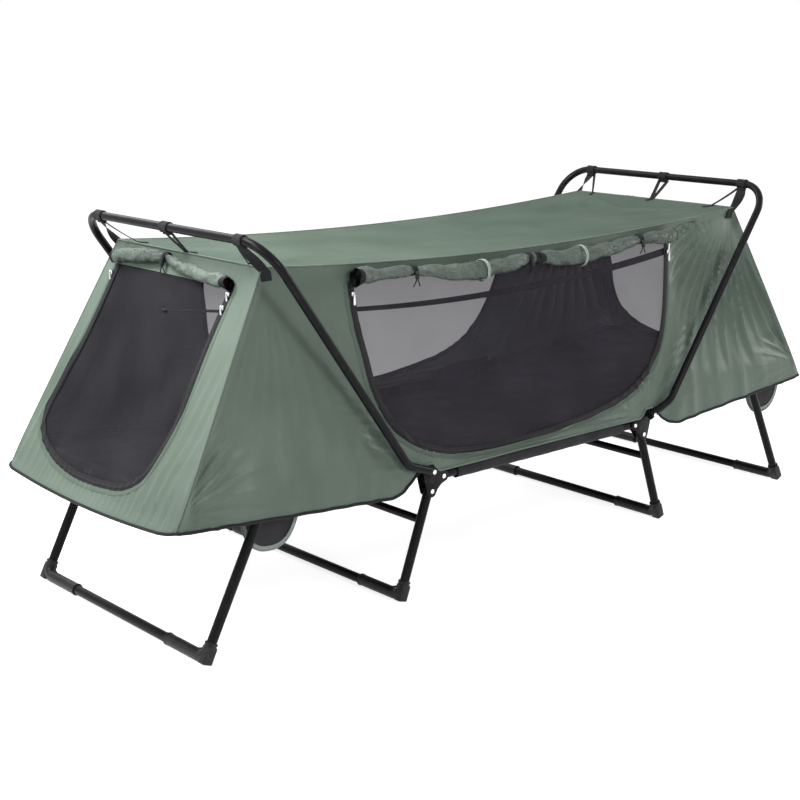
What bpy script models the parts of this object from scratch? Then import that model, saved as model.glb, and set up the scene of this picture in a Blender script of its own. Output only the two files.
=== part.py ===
import math

import bmesh
import bpy
from mathutils import Vector

# A folding camp bed with its own low tent. X runs along the bed with the head end at -X,
# the near side is -Y, and the caps stand on z = 0. All sizes are in metres.

# Tubes of the bed
tube_radius = 0.011
tube_wall = 0.0012
tube_y = 0.330
tube_end = 0.011
gap = 0.0003

# Middle hinges: the pivot of end frame and hoop, then the rivets of the rail and of the middle leg
pivot_x = 0.387
pivot_z = 0.301
rail_rivet_back = 0.050
rail_rivet_drop = 0.024
leg_rivet_back = 0.014
leg_rivet_drop = 0.054
plate_gap = 0.001
plate_sheet = 0.002
plate_lobe = 0.014
plate_waist = 0.005
shank_radius = 0.004
rivet_head_radius = 0.007
rivet_head_height = 0.0024
collar_radius = 0.008

# Bed ends, which rise a little from the hinges
end_frame_length = 0.6386
end_frame_corner = 0.070
end_frame_rise = math.radians(4)

# Hoops of the tent
hoop_radius = 0.0095
hoop_stand = 0.0035
crank_reach = 0.071
crank_up = 0.026
crank_bend = 0.050
hoop_bar_reach = 0.451
hoop_bar_up = 0.556
hoop_corner = 0.080

# Legs: how far the ground bars stand out from their pivots
mid_leg_splay = 0.084
end_leg_splay = 0.147
end_leg_share = 0.715314
leg_corner = 0.016
crossbar_radius = 0.0095
crossbar_down_share = 0.28

# Brackets that carry the end legs
bracket_drop = 0.033
bracket_half = 0.012
bracket_sheet = 0.0018
bracket_web = 0.003
bracket_below = 0.010
weld = 0.0006

# Plastic corner feet
cap_wall = 0.0022
cap_boss = 0.028
cap_sleeve = 0.140
web_up = 0.026
web_in = 0.080
web_half = 0.003

# Bed cloth and its sleeves
bed_cloth = 0.0012
sleeve_radius = 0.0124
bed_mid_half = 0.290
bed_mid_overhang = 0.124
bed_hinge_inset = 0.030
bed_sag = 0.010
bed_end_start = 0.035
bed_sleeve_start = 0.070
bed_corner_inset = 0.0785
bracket_clear = 0.004

# Canopy
cloth = 0.0012
canopy_clear = 0.001
canopy_top_x = 0.790
canopy_top_y = 0.2777
canopy_top_z = 0.797
skirt_kink_z = 0.335
skirt_beyond_bar = 0.04296
hem_end_z = 0.300
hem_low_z = 0.256
hem_mid_z = 0.291
notch_clear_in = 0.008
notch_clear_out = 0.004
notch_clear_up = 0.005
notch_ramp = 0.020
notch_step = 0.007
skirt_tip = 0.006
roof_sag = 0.032
roof_dish = 0.008
roof_lip = 0.001
fold_depth = 0.006
fold_fade = 0.060
fold_low_z = 0.370
seam_flat = 0.020
seam_gap = 0.0008

# Doors and windows
door_head_reach = 0.552
door_foot_reach = 0.505
door_top_z = 0.742
door_low_z = 0.345
window_half = 0.215
window_top_z = 0.745
window_low_z = 0.352
mesh_sheet = 0.0008
mesh_margin = 0.006

# Rolled flaps
roll_radius = 0.016
roll_drop = 0.030
roll_tie_depth = 0.005
window_roll_z = 0.765
window_roll_half = 0.222

# Straps from the hoops' top bars to the roof
strap_sheet = 0.0015
strap_half = 0.013
strap_wrap = 0.0112
strap_y = 0.262
strap_foot = 0.022
strap_end = 0.006

# Pockets and zip sliders
pocket_y = 0.300
pocket_sheet = 0.003
pocket_depth = 0.100
pocket_width = 0.140
head_pocket_share = 0.516755
foot_pocket_share = 0.725023
slider_half = 0.004
slider_length = 0.022
slider_sheet = 0.002
slider_low_z = 0.705

# Roundness
tube_sides = 10
rod_sides = 8

# Places that follow from the sizes above
section_share = math.cos(math.pi / tube_sides)
outer_plate_in = tube_y + tube_radius + plate_gap
outer_plate_out = outer_plate_in + plate_sheet
inner_plate_out = tube_y - tube_radius - plate_gap
inner_plate_in = inner_plate_out - plate_sheet
hoop_y = outer_plate_out + hoop_stand + hoop_radius
hole_radius = (shank_radius + gap) / math.cos(math.pi / rod_sides)
cap_bore = tube_radius + gap
cap_radius = cap_bore + cap_wall
ground_z = cap_radius * section_share
skirt_y = hoop_y - hoop_radius - canopy_clear
wall_slope = (skirt_y - canopy_top_y) / (canopy_top_z - skirt_kink_z)
wall_stretch = math.hypot(1, wall_slope)
end_leg_out = end_frame_length * end_leg_share
skirt_end_x = pivot_x + end_frame_length * math.cos(end_frame_rise) + skirt_beyond_bar
end_slope = (skirt_end_x - canopy_top_x) / (canopy_top_z - hem_end_z)
end_stretch = math.hypot(1, end_slope)
across = Vector((0, 1, 0))

for old in list(bpy.data.objects):
    bpy.data.objects.remove(old, do_unlink=True)


def material(name, colour, roughness, metallic):
    made = bpy.data.materials.new(name)
    made.use_nodes = True
    shader = made.node_tree.nodes["Principled BSDF"]
    shader.inputs["Base Color"].default_value = (*colour, 1)
    shader.inputs["Roughness"].default_value = roughness
    shader.inputs["Metallic"].default_value = metallic
    return made


black_steel = material("black_steel", (0.018, 0.018, 0.020), 0.38, 0.3)
plate_steel = material("plate_steel", (0.025, 0.025, 0.028), 0.32, 0.5)
rivet_steel = material("rivet_steel", (0.70, 0.70, 0.69), 0.30, 1.0)
black_plastic = material("black_plastic", (0.022, 0.022, 0.024), 0.50, 0)
green_nylon = material("green_nylon", (0.118, 0.160, 0.130), 0.55, 0)
black_mesh = material("black_mesh", (0.030, 0.028, 0.033), 0.85, 0)
bed_cloth_black = material("bed_cloth_black", (0.020, 0.020, 0.022), 0.80, 0)
webbing = material("webbing", (0.015, 0.015, 0.016), 0.75, 0)
pocket_cloth = material("pocket_cloth", (0.035, 0.035, 0.038), 0.80, 0)
zip_metal = material("zip_metal", (0.60, 0.60, 0.62), 0.30, 1)


# Bodies: an empty on each joint's axis, with the pieces that move with it as its children


def turning_body(name, place, parent=None):
    empty = bpy.data.objects.new(name, None)
    empty.empty_display_size = tube_y
    bpy.context.scene.collection.objects.link(empty)
    empty.parent = parent
    empty.location = place - (places[parent] if parent else Vector())
    places[empty] = place
    return empty


def put(name, shape, paint, body=None):
    """A named object with the shape's corners and faces, which are in the bed's own frame."""
    corners, faces = shape
    start = places[body] if body else Vector()
    mesh = bpy.data.meshes.new(name)
    mesh.from_pydata([corner - start for corner in corners], [], faces)
    bm = bmesh.new()
    bm.from_mesh(mesh)
    bmesh.ops.recalc_face_normals(bm, faces=bm.faces)
    bm.to_mesh(mesh)
    bm.free()
    mesh.shade_smooth()
    mesh.set_sharp_from_angle(angle=math.radians(40))
    made = bpy.data.objects.new(name, mesh)
    bpy.context.scene.collection.objects.link(made)
    made.parent = body
    if paint:
        mesh.materials.append(paint)
    return made


def helper(target, shape, operation, body=None):
    """Joins the shape to the target or cuts it from the target."""
    made = put(target.name + "." + operation.lower() + str(len(target.modifiers)), shape, None, body)
    made.hide_render = True
    made.display_type = "WIRE"
    change = target.modifiers.new(operation.lower(), "BOOLEAN")
    change.operation = operation
    change.solver = "EXACT"
    change.object = made


# Shapes


def together(*shapes):
    corners = []
    faces = []
    for more_corners, more_faces in shapes:
        faces += [[index + len(corners) for index in face] for face in more_faces]
        corners += more_corners
    return corners, faces


def bridge(first, second, count):
    return [[first + i, first + (i + 1) % count, second + (i + 1) % count, second + i] for i in range(count)]


def rounded(points, radii, counts):
    """The path through the points, with each inner corner rounded by its radius in its count of steps."""
    path = [points[0]]
    for before, corner, after, radius, steps in zip(points, points[1:], points[2:], radii, counts):
        back = (before - corner).normalized()
        ahead = (after - corner).normalized()
        half = back.angle(ahead) / 2
        centre = corner + (back + ahead).normalized() * (radius / math.sin(half))
        start = corner + back * (radius / math.tan(half)) - centre
        end = corner + ahead * (radius / math.tan(half)) - centre
        turn = start.angle(end)
        for k in range(steps + 1):
            share = k / steps
            path.append(centre + (start * math.sin((1 - share) * turn) + end * math.sin(share * turn)) / math.sin(turn))
    path.append(points[-1])
    return path


def rings(path, radius, sides, facing):
    """A tube's section at each point of its path, mitred at the bends, with a flat towards facing at the start."""
    ahead = (path[1] - path[0]).normalized()
    flat = (facing - ahead * facing.dot(ahead)).normalized()
    other = ahead.cross(flat)
    ring = []
    for k in range(sides):
        turn = (k + 0.5) * math.tau / sides
        ring.append(path[0] + (flat * math.cos(turn) + other * math.sin(turn)) * radius)
    found = [ring]
    for before, here, after in zip(path, path[1:], path[2:] + [None]):
        along = (here - before).normalized()
        normal = along if after is None else (along + (after - here).normalized()).normalized()
        ring = [corner + along * ((here - corner).dot(normal) / along.dot(normal)) for corner in ring]
        found.append(ring)
    return found


def rod(path, radius, sides=tube_sides, facing=Vector((0, 0, -1))):
    """A solid tube shape along the path."""
    found = rings(path, radius, sides, facing)
    corners = [corner for ring in found for corner in ring]
    faces = [list(range(sides)), list(range(len(corners) - sides, len(corners)))]
    for k in range(len(found) - 1):
        faces += bridge(k * sides, (k + 1) * sides, sides)
    return corners, faces


def pipe(path, radius, facing=Vector((0, 0, -1))):
    """A hollow tube with open ends."""
    sides = tube_sides
    outer = rings(path, radius, sides, facing)
    inner = rings(path, radius - tube_wall, sides, facing)
    corners = [corner for ring in outer + inner for corner in ring]
    faces = []
    for k in range(len(path) - 1):
        faces += bridge(k * sides, (k + 1) * sides, sides)
        faces += bridge((len(path) + k) * sides, (len(path) + k + 1) * sides, sides)
    faces += bridge(0, len(path) * sides, sides)
    faces += bridge((len(path) - 1) * sides, (2 * len(path) - 1) * sides, sides)
    return corners, faces


def turned(x, z, steps):
    """A round piece on an axis along Y; each step is a place on the axis and a radius."""
    corners = []
    faces = [list(range(rod_sides)), list(range((len(steps) - 1) * rod_sides, len(steps) * rod_sides))]
    for y, radius in steps:
        for k in range(rod_sides):
            turn = k * math.tau / rod_sides
            corners.append(Vector((x + radius * math.cos(turn), y, z + radius * math.sin(turn))))
    for k in range(len(steps) - 1):
        faces += bridge(k * rod_sides, (k + 1) * rod_sides, rod_sides)
    return corners, faces


def prism(outline, thickness):
    """A flat outline given the thickness, a vector."""
    count = len(outline)
    corners = list(outline) + [corner + thickness for corner in outline]
    return corners, [list(range(count)), list(range(count, 2 * count)), *bridge(0, count, count)]


def cross_hole(x, z):
    """A drill through both sides of the bed."""
    return turned(x, z, [(-hoop_y - tube_radius, hole_radius), (hoop_y + tube_radius, hole_radius)])


def band(profile, sheet, sweep):
    """A cloth band of the sheet's thickness: its profile, a list of points, carried along the sweep."""
    normals = []
    for first, second in zip(profile, profile[1:]):
        normals.append((second - first).cross(sweep).normalized())
    offsets = []
    for before, after in zip(normals[:1] + normals, normals + normals[-1:]):
        middle = (before + after).normalized()
        offsets.append(middle * (sheet / 2 / middle.dot(after)))
    outline = [point + offset for point, offset in zip(profile, offsets)]
    outline += [point - offset for point, offset in zip(reversed(profile), reversed(offsets))]
    count = len(profile)
    whole = len(outline)
    corners = outline + [corner + sweep for corner in outline]
    faces = bridge(0, whole, whole)
    for k in range(count - 1):
        face = [k, k + 1, whole - 2 - k, whole - 1 - k]
        faces += [face, [index + whole for index in face]]
    return corners, faces


places = {}
root_places = {}

# Middle of the bed: rails, hinge plates and rivets

rail_x = pivot_x - rail_rivet_back
rail_z = pivot_z - rail_rivet_drop
mid_leg_x = pivot_x - leg_rivet_back
mid_leg_z = pivot_z - leg_rivet_drop
sides_named = [("near", -1), ("far", 1)]
ends_named = [("head", -1), ("foot", 1)]

for side_name, side in sides_named:
    reach = Vector((rail_x + tube_end, 0, 0))
    middle = Vector((0, side * tube_y, rail_z))
    rail = put("rail_" + side_name, pipe([middle - reach, middle + reach], tube_radius), black_steel)
    helper(rail, together(cross_hole(-rail_x, rail_z), cross_hole(rail_x, rail_z)), "DIFFERENCE")


def plate_outline(end):
    """The rounded triangle round the three rivets, drawn in between rail and leg."""
    centres = [(pivot_x, pivot_z), (rail_x, rail_z), (mid_leg_x, mid_leg_z)]
    outline = []
    for k, (x, z) in enumerate(centres):
        before = centres[k - 1]
        after = centres[(k + 1) % 3]
        first = math.atan2(before[0] - x, z - before[1])
        last = math.atan2(x - after[0], after[1] - z)
        while last < first:
            last += math.tau
        for step in range(5):
            turn = first + (last - first) * step / 4
            outline.append((x + plate_lobe * math.cos(turn), z + plate_lobe * math.sin(turn)))
        if k == 1:
            away = math.atan2(x - after[0], after[1] - z)
            half_x = (x + after[0]) / 2 + (plate_lobe - plate_waist) * math.cos(away)
            half_z = (z + after[1]) / 2 + (plate_lobe - plate_waist) * math.sin(away)
            outline.append((half_x, half_z))
    return [(end * x, z) for x, z in outline]


for end_name, end in ends_named:
    for side_name, side in sides_named:
        corner = side_name + "_" + end_name
        outline = plate_outline(end)
        leg_hole = cross_hole(end * mid_leg_x, mid_leg_z)
        pivot_hole = cross_hole(end * pivot_x, pivot_z)
        rail_hole = cross_hole(end * rail_x, rail_z)
        sheet = across * side * plate_sheet
        outer = [Vector((x, side * outer_plate_in, z)) for x, z in outline]
        plate = put("plate_outer_" + corner, prism(outer, sheet), plate_steel)
        helper(plate, together(leg_hole, pivot_hole), "DIFFERENCE")
        seat = outer_plate_in + plate_sheet / 2
        stem = [(outer_plate_out + rivet_head_height, rivet_head_radius), (seat, rivet_head_radius)]
        stem += [(seat, shank_radius), (inner_plate_in, shank_radius)]
        helper(plate, turned(end * rail_x, rail_z, [(side * y, r) for y, r in stem]), "UNION")
        inner = [Vector((x, side * inner_plate_in, z)) for x, z in outline]
        plate = put("plate_inner_" + corner, prism(inner, sheet), plate_steel)
        helper(plate, together(leg_hole, pivot_hole, rail_hole), "DIFFERENCE")
        inner_end = [(inner_plate_in - gap, shank_radius), (inner_plate_in - gap, rivet_head_radius)]
        inner_end += [(inner_plate_in - gap - rivet_head_height, rivet_head_radius)]
        face = outer_plate_out + gap
        steps = [(face + rivet_head_height, rivet_head_radius), (face, rivet_head_radius), (face, shank_radius)]
        steps = [(side * y, r) for y, r in steps + inner_end]
        put("leg_rivet_" + corner, turned(end * mid_leg_x, mid_leg_z, steps), rivet_steel)
        face = hoop_y + hoop_radius + gap
        steps = [(face + rivet_head_height, rivet_head_radius), (face, rivet_head_radius), (face, shank_radius)]
        face = hoop_y - hoop_radius - gap
        steps += [(face, shank_radius), (face, collar_radius)]
        face = outer_plate_out + gap
        steps += [(face, collar_radius), (face, shank_radius)]
        steps = [(side * y, r) for y, r in steps + inner_end]
        put("hoop_rivet_" + corner, turned(end * pivot_x, pivot_z, steps), rivet_steel)

# Cloth of the bed: a sheet that sags a little between two sleeves


def bed_profile(place, down):
    """From one sleeve to the other, seen along the bed; place gives a point from its y and its height."""
    points = []
    wrap_steps = 11
    for side in (-1, 1):
        wrap = []
        for k in range(wrap_steps):
            turn = math.radians(25) + (math.tau - math.radians(25)) * k / (wrap_steps - 1)
            y = side * (tube_y - sleeve_radius * math.cos(turn))
            wrap.append(place(y, -sleeve_radius * math.sin(turn)))
        edge = tube_y - sleeve_radius
        if side < 0:
            points += wrap
            for k in range(1, 6):
                share = k / 3 - 1
                points.append(place(edge * share, -down * (1 - share * share)))
        else:
            points += list(reversed(wrap))
    return points


half = Vector((bed_mid_half + bed_mid_overhang, 0, 0))
points = bed_profile(lambda y, up: across * y + Vector((0, 0, rail_z + up)) - half, bed_sag)
panel = put("bed_mid", band(points, bed_cloth, 2 * half), bed_cloth_black)

# The sleeves stop short of the hinges, and only the sheet goes on between the plates
cuts = []
room = 2 * sleeve_radius
for end_name, end in ends_named:
    for side_name, side in sides_named:
        corner = Vector((end * bed_mid_half, side * (tube_y - bed_hinge_inset), rail_z - room))
        up = Vector((0, 0, 2 * room))
        reach = across * side * (bed_hinge_inset + room)
        outline = [corner, corner + reach, corner + reach + up, corner + up]
        cuts.append(prism(outline, Vector((end * (bed_mid_overhang + room), 0, 0))))
helper(panel, together(*cuts), "DIFFERENCE")

# Ends: folding frame, its leg, the hoop and the middle leg


def leg_shapes(top, end, splay):
    """Path of a U-shaped leg from pivot to ground bar, the direction up its tubes and the way its flats face."""
    foot = Vector((top.x + end * splay, 0, ground_z))
    up = (Vector((top.x, 0, top.z)) - foot).normalized()
    head = Vector((top.x, 0, top.z)) + up * tube_end
    side = across * tube_y
    path = rounded([head - side, foot - side, foot + side, head + side], [leg_corner, leg_corner], [3, 3])
    normal = up.cross(across)
    return path, foot, up, normal


def flat_down(up, normal, side):
    """The direction at the top of a leg that becomes straight down in the ground bar."""
    return normal * -normal.z + across * side * up.z


def make_leg(name, top, end, splay, body, crossbar):
    path, foot, up, normal = leg_shapes(top, end, splay)
    leg = put(name, pipe(path, tube_radius, flat_down(up, normal, -1)), black_steel, body)
    holes = [cross_hole(top.x, top.z)]
    if crossbar:
        place = Vector((top.x, 0, top.z)).lerp(foot, crossbar_down_share)
        half = across * (tube_y - tube_radius + 2 * tube_wall)
        helper(leg, rod([place - half, place + half], crossbar_radius), "UNION", body)
        half = across * tube_y
        holes.append(rod([place - half, place + half], crossbar_radius - tube_wall))
    helper(leg, together(*holes), "DIFFERENCE", body)
    for side_name, side in sides_named:
        corner = foot + across * side * tube_y
        inward = across * -side
        facing = flat_down(up, normal, side)
        ends = [corner + up * cap_boss, corner, corner + inward * cap_sleeve]
        shape = rod(rounded(ends, [leg_corner], [3]), cap_radius, facing=facing)
        cap = put("cap_" + name.replace("_leg", "") + "_" + side_name, shape, black_plastic, body)
        half = normal * web_half
        web = [corner - half, corner + up * web_up - half, corner + inward * web_in - half]
        helper(cap, prism(web, 2 * half), "UNION", body)
        ends = [corner + up * 2 * cap_boss, corner, corner + inward * 2 * cap_sleeve]
        helper(cap, rod(rounded(ends, [leg_corner], [3]), cap_bore, facing=facing), "DIFFERENCE", body)


for end_name, end in ends_named:
    pivot = Vector((end * pivot_x, 0, pivot_z))
    section = turning_body(end_name + "_section_axis", pivot)
    hoop_axis = turning_body(end_name + "_hoop_axis", pivot)
    out = Vector((end * math.cos(end_frame_rise), 0, math.sin(end_frame_rise)))
    down = Vector((end * math.sin(end_frame_rise), 0, -math.cos(end_frame_rise)))

    # End frame with its welded brackets and pins
    side = across * tube_y
    start = pivot - out * tube_end
    bar = pivot + out * end_frame_length
    path = rounded([start - side, bar - side, bar + side, start + side], [end_frame_corner] * 2, [4, 4])
    frame = put(end_name + "_frame", pipe(path, tube_radius, down), black_steel, section)
    leg_top = pivot + out * end_leg_out + down * bracket_drop
    seat = tube_radius * section_share - weld
    low = bracket_drop + bracket_below
    inner_half = tube_radius + plate_gap
    outer_half = inner_half + bracket_sheet
    profile = [(-outer_half, seat), (outer_half, seat), (outer_half, low), (inner_half, low)]
    profile += [(inner_half, seat + bracket_web), (-inner_half, seat + bracket_web), (-inner_half, low)]
    profile += [(-outer_half, low)]
    brackets = []
    pins = []
    for place in (-side, side):
        axle = pivot + out * end_leg_out + place
        near_end = axle - out * bracket_half
        outline = [near_end + across * y + down * depth for y, depth in profile]
        brackets.append(prism(outline, out * 2 * bracket_half))
        half = across * (outer_half - bracket_sheet / 4)
        centre = axle + down * bracket_drop
        pins.append(rod([centre - half, centre + half], shank_radius, rod_sides))
    helper(frame, together(*brackets), "UNION", section)
    helper(frame, together(*pins), "UNION", section)
    helper(frame, cross_hole(pivot.x, pivot.z), "DIFFERENCE", section)

    # Bed cloth of this end, cut away round the brackets and at the frame's corners
    first = pivot + out * bed_end_start
    length = end_frame_length - bed_end_start - tube_radius - gap
    points = bed_profile(lambda y, up: first + across * y - down * up, bed_sag)
    panel = put("bed_" + end_name, band(points, bed_cloth, out * length), bed_cloth_black, section)
    cuts = []
    room = 2 * sleeve_radius
    straight = end_frame_length - end_frame_corner - gap
    clear = bracket_half + bracket_clear
    for side_number in (-1, 1):
        for begin, finish, inset in (
            (0, bed_sleeve_start, bed_hinge_inset),
            (end_leg_out - clear, end_leg_out + clear, tube_radius + bracket_clear),
            (straight, straight + 2 * end_frame_corner, bed_corner_inset),
        ):
            corner = pivot + out * begin + across * side_number * (tube_y - inset) - down * room
            reach = across * side_number * (inset + room)
            outline = [corner, corner + reach, corner + reach + down * 2 * room, corner + down * 2 * room]
            cuts.append(prism(outline, out * (finish - begin)))
    helper(panel, together(*cuts), "DIFFERENCE", section)

    # Hoop with its cranked ends
    side = across * hoop_y
    bend = pivot + Vector((end * crank_reach, 0, crank_up))
    bar = pivot + Vector((end * hoop_bar_reach, 0, hoop_bar_up))
    start = pivot - (bend - pivot).normalized() * tube_end
    corners = [start - side, bend - side, bar - side, bar + side, bend + side, start + side]
    path = rounded(corners, [crank_bend, hoop_corner, hoop_corner, crank_bend], [2, 4, 4, 2])
    hoop = put(end_name + "_hoop", pipe(path, hoop_radius, Vector((0, 0, 1))), black_steel, hoop_axis)
    helper(hoop, cross_hole(pivot.x, pivot.z), "DIFFERENCE", hoop_axis)

    # Straps: a collar round the top bar and a tail that lies on the roof's end
    for name, y in (("near", -strap_y), ("middle", 0), ("far", strap_y)):
        points = []
        away = Vector((end * canopy_top_x, 0, canopy_top_z)) - bar
        turn_start = math.atan2(away.z, away.x * end)
        for k in range(10):
            turn = turn_start + math.radians(20) + (math.tau - math.radians(20)) * k / 9
            points.append(bar + Vector((end * math.cos(turn), 0, math.sin(turn))) * strap_wrap)
        lie = canopy_top_z + gap + strap_sheet / 2
        points.append(Vector((end * (canopy_top_x + strap_end), 0, lie)))
        points.append(Vector((end * (canopy_top_x - strap_foot), 0, lie)))
        points = [point + across * (y - strap_half) for point in points]
        shape = band(points, strap_sheet, across * 2 * strap_half)
        put("strap_" + end_name + "_" + name, shape, webbing, hoop_axis)

    # Legs
    leg_axis = turning_body(end_name + "_end_leg_axis", Vector((leg_top.x, 0, leg_top.z)), section)
    make_leg(end_name + "_end_leg", leg_top, end, end_leg_splay, leg_axis, False)
    top = Vector((end * mid_leg_x, 0, mid_leg_z))
    leg_axis = turning_body(end_name + "_mid_leg_axis", top)
    make_leg(end_name + "_mid_leg", top, end, mid_leg_splay, leg_axis, True)

    # Half-round pocket that hangs from the bed cloth on the near side
    edge = tube_y - sleeve_radius
    near_face = pocket_y - pocket_sheet / 2
    top_depth = bed_sag * (1 - (near_face / edge) ** 2) + bed_cloth / 2 + gap
    outline = []
    pocket_share = head_pocket_share if end < 0 else foot_pocket_share
    centre_out = end_frame_length * pocket_share + pocket_width / 2
    for k in range(13):
        turn = math.pi * k / 12
        along = centre_out + pocket_width / 2 * math.cos(turn)
        depth = top_depth + pocket_depth * math.sin(turn)
        outline.append(pivot + out * along + down * depth - across * near_face)
    shape = prism(outline, across * -pocket_sheet)
    put("pocket_" + end_name, shape, pocket_cloth, section)

# Canopy: where its cloth lies


def roof_edge(x):
    """Height of the roof's long edge, which sags between the hoops."""
    return canopy_top_z - roof_sag * (1 - (x / canopy_top_x) ** 2)


def wall_out(z):
    """The long side's outer face, from the bed's middle plane."""
    return min(skirt_y, canopy_top_y + (canopy_top_z - z) * wall_slope)


def end_out(z):
    """The end panel's outer face, from the middle of the bed."""
    return canopy_top_x + (canopy_top_z - z) * end_slope


hem_shape = [
    (0, hem_mid_z),
    (rail_x - plate_lobe - notch_clear_in, hem_mid_z),
    (rail_x - plate_lobe - notch_clear_in + notch_ramp, pivot_z + plate_lobe + notch_clear_up),
    (pivot_x + plate_lobe + notch_clear_out, pivot_z + plate_lobe + notch_clear_up),
    (pivot_x + plate_lobe + notch_clear_out + notch_step, hem_low_z),
    (skirt_end_x, hem_end_z),
]


def hem(x):
    for (x0, z0), (x1, z1) in zip(hem_shape, hem_shape[1:]):
        if x <= x1:
            return z0 + (z1 - z0) * (x - x0) / (x1 - x0)
    return hem_end_z


def ramp(value, width):
    return max(0.0, min(1.0, value / width))


def fold(x, z):
    """How far the cloth is drawn in, in folds that fan out from the hoop's corner."""
    reach = math.hypot(canopy_top_x - x, canopy_top_z - z)
    if reach < gap:
        return 0.0
    turn = math.atan2(canopy_top_x - x, canopy_top_z - z)
    wave = (1 - math.cos(8 * turn)) / 2
    fade = ramp(x - door_head_reach - mesh_margin, fold_fade) * ramp(z - fold_low_z, fold_fade)
    fade *= ramp(end_out(z) - x - seam_flat, fold_fade) * ramp(roof_edge(min(x, canopy_top_x)) - z, fold_fade)
    return fold_depth * wave * fade


def spread(first, last, count):
    return [first + (last - first) * k / count for k in range(1, count + 1)]


stations = [0.0]
spans = [(hem_shape[1][0], 3), (hem_shape[2][0], 1), (hem_shape[3][0], 1), (hem_shape[4][0], 1)]
spans += [(door_head_reach + mesh_margin, 1), (canopy_top_x, 4), (end_out(skirt_kink_z), 3)]
spans += [(skirt_end_x - skirt_tip, 1)]
for last, count in spans:
    stations += spread(stations[-1], last, count)
stations = [-x for x in reversed(stations[1:])] + stations
wall_rows = 8


def wall_points(side, inset):
    """The long side's face, inset from its outer face, row by row from the hem."""
    corners = []
    for row in range(wall_rows + 1):
        for x in stations:
            far = abs(x)
            low = hem(far)
            top = roof_edge(min(far, canopy_top_x)) - cloth - gap
            top = min(top, canopy_top_z - (far - canopy_top_x) / end_slope)
            kink = skirt_kink_z if top > skirt_kink_z + gap else (low + top) / 2
            z = low if row == 0 else kink + (top - kink) * (row - 1) / (wall_rows - 1)
            steep = wall_stretch if z > skirt_kink_z else 1
            y = wall_out(z) - fold(far, z) - inset * steep
            corners.append(Vector((x, side * y, z)))
    return corners


def sheet_of(front, back, rows, columns):
    """A closed sheet from its two faces, each a grid of corners."""
    count = rows * columns
    faces = []
    for row in range(rows - 1):
        for k in range(columns - 1):
            first = row * columns + k
            face = [first, first + 1, first + 1 + columns, first + columns]
            faces += [face, [index + count for index in face]]
    rim = list(range(columns)) + [row * columns + columns - 1 for row in range(1, rows)]
    rim += [(rows - 1) * columns + k for k in range(columns - 2, -1, -1)]
    rim += [row * columns for row in range(rows - 2, 0, -1)]
    for first, second in zip(rim, rim[1:] + rim[:1]):
        faces.append([first, second, second + count, first + count])
    return front + back, faces


def rounded_opening(low, top, reach_back, reach_on, grow):
    """A D on its back: straight top, sides that curve into the bottom. Points of breadth and height."""
    outline = []
    for reach, order in ((reach_back, range(9)), (reach_on, range(8, -1, -1))):
        for k in order:
            turn = math.pi / 2 * k / 8
            breadth = math.cos(turn) ** (2 / 3.5)
            height = math.sin(turn) ** (2 / 3.5)
            direction = -1 if reach == reach_back and order[0] == 0 else 1
            place = (direction * (reach + grow) * breadth, top + grow - (top - low + 2 * grow) * height)
            if not outline or place != outline[-1]:
                outline.append(place)
    return outline


def door_outline(grow):
    return rounded_opening(door_low_z, door_top_z, door_head_reach, door_foot_reach, grow)


def window_outline(grow):
    return rounded_opening(window_low_z, window_top_z, window_half, window_half, grow)


def between(outline, front, back):
    """A closed panel: each point of the outline is placed on its front and on its back face."""
    count = len(outline)
    corners = [front(*point) for point in outline] + [back(*point) for point in outline]
    return corners, [list(range(count)), list(range(count, 2 * count)), *bridge(0, count, count)]


def unclipped(z):
    return canopy_top_y + (canopy_top_z - z) * wall_slope


# Roof
columns = 13
rows = 5
faces_of_roof = []
for drop in (0, cloth):
    layer = []
    for row in range(rows):
        across_share = row / (rows - 1) * 2 - 1
        for k in range(columns):
            along_share = k / (columns - 1) * 2 - 1
            x = along_share * (canopy_top_x + roof_lip)
            edge = roof_edge(min(abs(x), canopy_top_x))
            half = wall_out(edge) + roof_lip
            dish = roof_dish * (1 - across_share**2) * (1 - along_share**2)
            layer.append(Vector((x, across_share * half, edge - dish - drop)))
    faces_of_roof.append(layer)
put("roof", sheet_of(faces_of_roof[0], faces_of_roof[1], rows, columns), green_nylon)

# Long sides with their door openings, mesh, rolled flaps and, on the near side, the zip sliders
for side_name, side in sides_named:
    shape = sheet_of(wall_points(side, 0), wall_points(side, cloth), wall_rows + 1, len(stations))
    wall = put("wall_" + side_name, shape, green_nylon)
    opening = between(
        door_outline(0),
        lambda x, z: Vector((x, side * (skirt_y + canopy_top_y), z)),
        lambda x, z: Vector((x, side * canopy_top_y / 2, z)),
    )
    helper(wall, opening, "DIFFERENCE")
    deep = (cloth + gap) * wall_stretch
    deeper = (cloth + gap + mesh_sheet) * wall_stretch
    shape = between(
        door_outline(mesh_margin),
        lambda x, z: Vector((x, side * (unclipped(z) - deep), z)),
        lambda x, z: Vector((x, side * (unclipped(z) - deeper), z)),
    )
    put("mesh_" + side_name, shape, black_mesh)

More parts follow.
